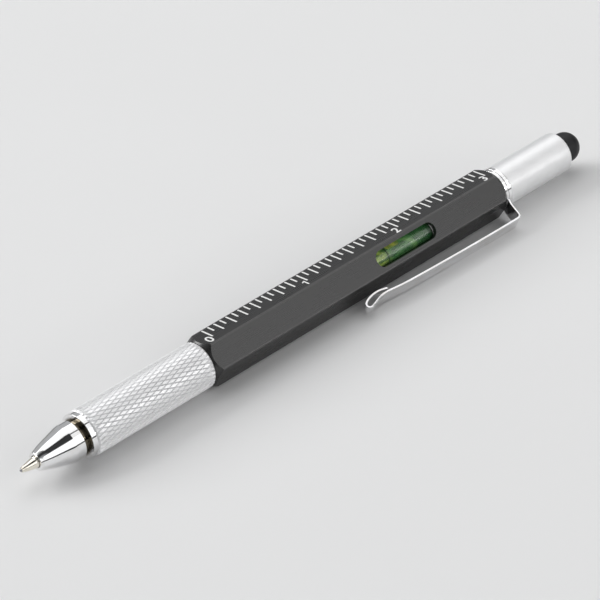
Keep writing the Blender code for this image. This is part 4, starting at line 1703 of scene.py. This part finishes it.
@dataclass
class Cap:
    """The satin cap with the touch stylus on its end."""

    front: float = 80.0
    back: float = 98.35
    radius: float = 4.47
    wall: float = 0.62
    end_wall: float = 1.2
    shoulder: float = 0.45
    rounding: float = 0.12
    stem: float = 1.95
    dome_front: float = 98.40
    dome: float = 3.3
    skirt: float = 2.2
    dome_edge: float = 0.12
    dome_reach: float = 3.3
    dome_wall: float = 1.0
    hollow: float = 2.25
    lip: float = 1.0

    def sleeve(self) -> Solid:
        """The cap's turned shell.

        Returns:
            The shell, with its rounded shoulder.
        """
        inner, end = self.radius - self.wall, self.back - self.end_wall
        corner = arc(self.back - self.shoulder, self.shoulder, self.shoulder, steps=8)
        profile = [
            (self.front, self.radius), *((x, r + self.radius - self.shoulder) for x, r in corner),
            (self.back, self.stem), (end, self.stem), (end, inner), (self.front, inner),
        ]
        return turned(profile, steps=128)

    def stylus(self) -> Solid:
        """The rubber dome.

        Returns:
            The dome, hollow over its button.
        """
        base, lip = self.dome_front + self.skirt, self.dome_front + self.lip
        profile = [
            *reversed(arc(base, self.hollow, self.dome_reach - self.dome_wall, steps=16)),
            (lip, self.hollow), (lip, self.stem), (self.dome_front, self.stem),
            (self.dome_front, self.dome - self.dome_edge), (self.dome_front + self.dome_edge, self.dome),
            *arc(base, self.dome, self.dome_reach, steps=16),
        ]
        return turned(profile, closed=False)

    def build(self) -> None:
        """Builds and dresses the cap and the stylus."""
        cap = Piece("cap_shell", Body.CAP, "satin_aluminium", SATIN_ALUMINIUM, "cap_sleeve")
        cap.settle(softened(self.sleeve(), self.rounding, angle=50.0))
        Piece("stylus_dome", Body.STYLUS, "black_rubber", BLACK_RUBBER, "stylus_tip").settle(self.stylus())
        dress(TURNED_BRASS, "cap_liner", "stylus_holder")


# Studio


@dataclass
class Lamp:
    """A softbox: its direction from the pen, distance, size along and across the pen, and light."""

    name: str
    direction: Place
    distance: float
    size: Point
    watts: float

    def hang(self) -> None:
        """Hangs the softbox, facing the pen, with its first side along it."""
        light = bpy.data.lights.new(self.name, "AREA")
        light.shape = "RECTANGLE"
        light.size, light.size_y = self.size
        light.energy = self.watts
        lamp = bpy.data.objects.new(self.name, light)
        out = Vector(self.direction).normalized()
        across = out.cross(Vector((1.0, 0.0, 0.0))).normalized()
        facing = Matrix((across.cross(out), across, out)).transposed().to_4x4()
        lamp.matrix_world = Matrix.Translation(out * self.distance) @ facing
        bpy.context.scene.collection.objects.link(lamp)


@dataclass
class Studio:
    """Pale table, soft light and the camera.

    The room's strengths are its far wall, its gloom on the near side, the share of them at the horizon, and
    the glow around the camera. The ranges and the rise are the parts of the direction over which they change.
    """

    table: float = 8.0
    sky: Colour = (0.97, 0.985, 1.0)
    wall: float = 0.45
    gloom: float = 0.04
    wall_range: Point = (-0.1, 0.3)
    horizon: float = 0.3
    rise: float = 0.25
    glow: float = 0.3
    glow_range: Point = (0.88, 0.98)
    camera_place: Place = (-0.34133345, -0.37725649, 0.36472113)
    camera_turn: Place = (54.70095, 2.8756, -43.67902)
    lens: float = 188.2248
    sensor: float = 36.0
    view_range: Point = (0.01, 50.0)
    lamps: tuple[Lamp, ...] = (
        Lamp("overhead_softbox", (0.35, 0.258, 0.90), 1.2, (1.6, 1.09), 5.6),
        Lamp("near_softbox", (0.20, -0.866, 0.459), 1.5, (1.87, 1.07), 7.6),
        Lamp("tail_softbox", (0.56, -0.41, 0.72), 1.2, (0.72, 0.50), 1.1),
        Lamp("shadow_softbox", (-0.45, 0.72, 0.53), 1.8, (1.0, 1.0), 19.0),
        Lamp("strip_light", (0.545, -0.795, 0.266), 1.4, (0.82, 0.06), 1.15),
    )

    def floor(self) -> None:
        """Lays the table."""
        bm = bmesh.new()
        bmesh.ops.create_grid(bm, x_segments=2, y_segments=2, size=self.table / 2)
        top = bpy.data.objects.new("table_top", meshed(bm))
        top.data.materials.append(TableTop().material())
        bpy.context.scene.collection.objects.link(top)

    def world(self) -> None:
        """Fills the room with soft light."""
        room = bpy.data.worlds.new("studio_room")
        room.use_nodes = True
        graph = Graph(room.node_tree)
        direction = graph.node("ShaderNodeTexCoord", output="Generated")
        _, far, up = graph.split(direction)
        camera = Vector(self.camera_place).normalized()
        dot = {"operation": "DOT_PRODUCT"}
        toward = graph.node("ShaderNodeVectorMath", dot, {0: direction, 1: camera}, "Value")
        wall = graph.fit(far, *self.wall_range, self.gloom, self.wall)
        strength = wall * graph.fit(up, 0.0, self.rise, self.horizon)
        strength = strength + graph.fit(toward, *self.glow_range, 0.0, self.glow)
        light = graph.node("ShaderNodeBackground", inputs={"Color": self.sky, "Strength": strength})
        graph.add("ShaderNodeOutputWorld", inputs={"Surface": light})
        bpy.context.scene.world = room

    def camera(self) -> None:
        """Places the camera at the photograph's viewing angle."""
        eye = bpy.data.cameras.new("camera")
        eye.lens = self.lens
        eye.sensor_width = self.sensor
        eye.clip_start, eye.clip_end = self.view_range
        stand = bpy.data.objects.new("camera", eye)
        stand.location = self.camera_place
        stand.rotation_euler = tuple(math.radians(turn) for turn in self.camera_turn)
        bpy.context.scene.collection.objects.link(stand)
        bpy.context.scene.camera = stand

    def build(self) -> None:
        """Sets the studio."""
        bpy.context.scene.view_settings.view_transform = "Standard"
        self.floor()
        self.world()
        self.camera()
        for lamp in self.lamps:
            lamp.hang()


def main() -> None:
    """Builds the pen, sub-assembly by sub-assembly, and the studio."""
    logging.basicConfig(level=logging.INFO, format="%(name)s: %(message)s")
    parts = (Studio, Barrel, RulerScale, Level, Clip, Grip, Nose, Refill, TwistMechanism, BitHolder, Cap)
    for part in parts:
        log.info("building %s", part.__name__)
        part().build()


if __name__ == "__main__":
    main()
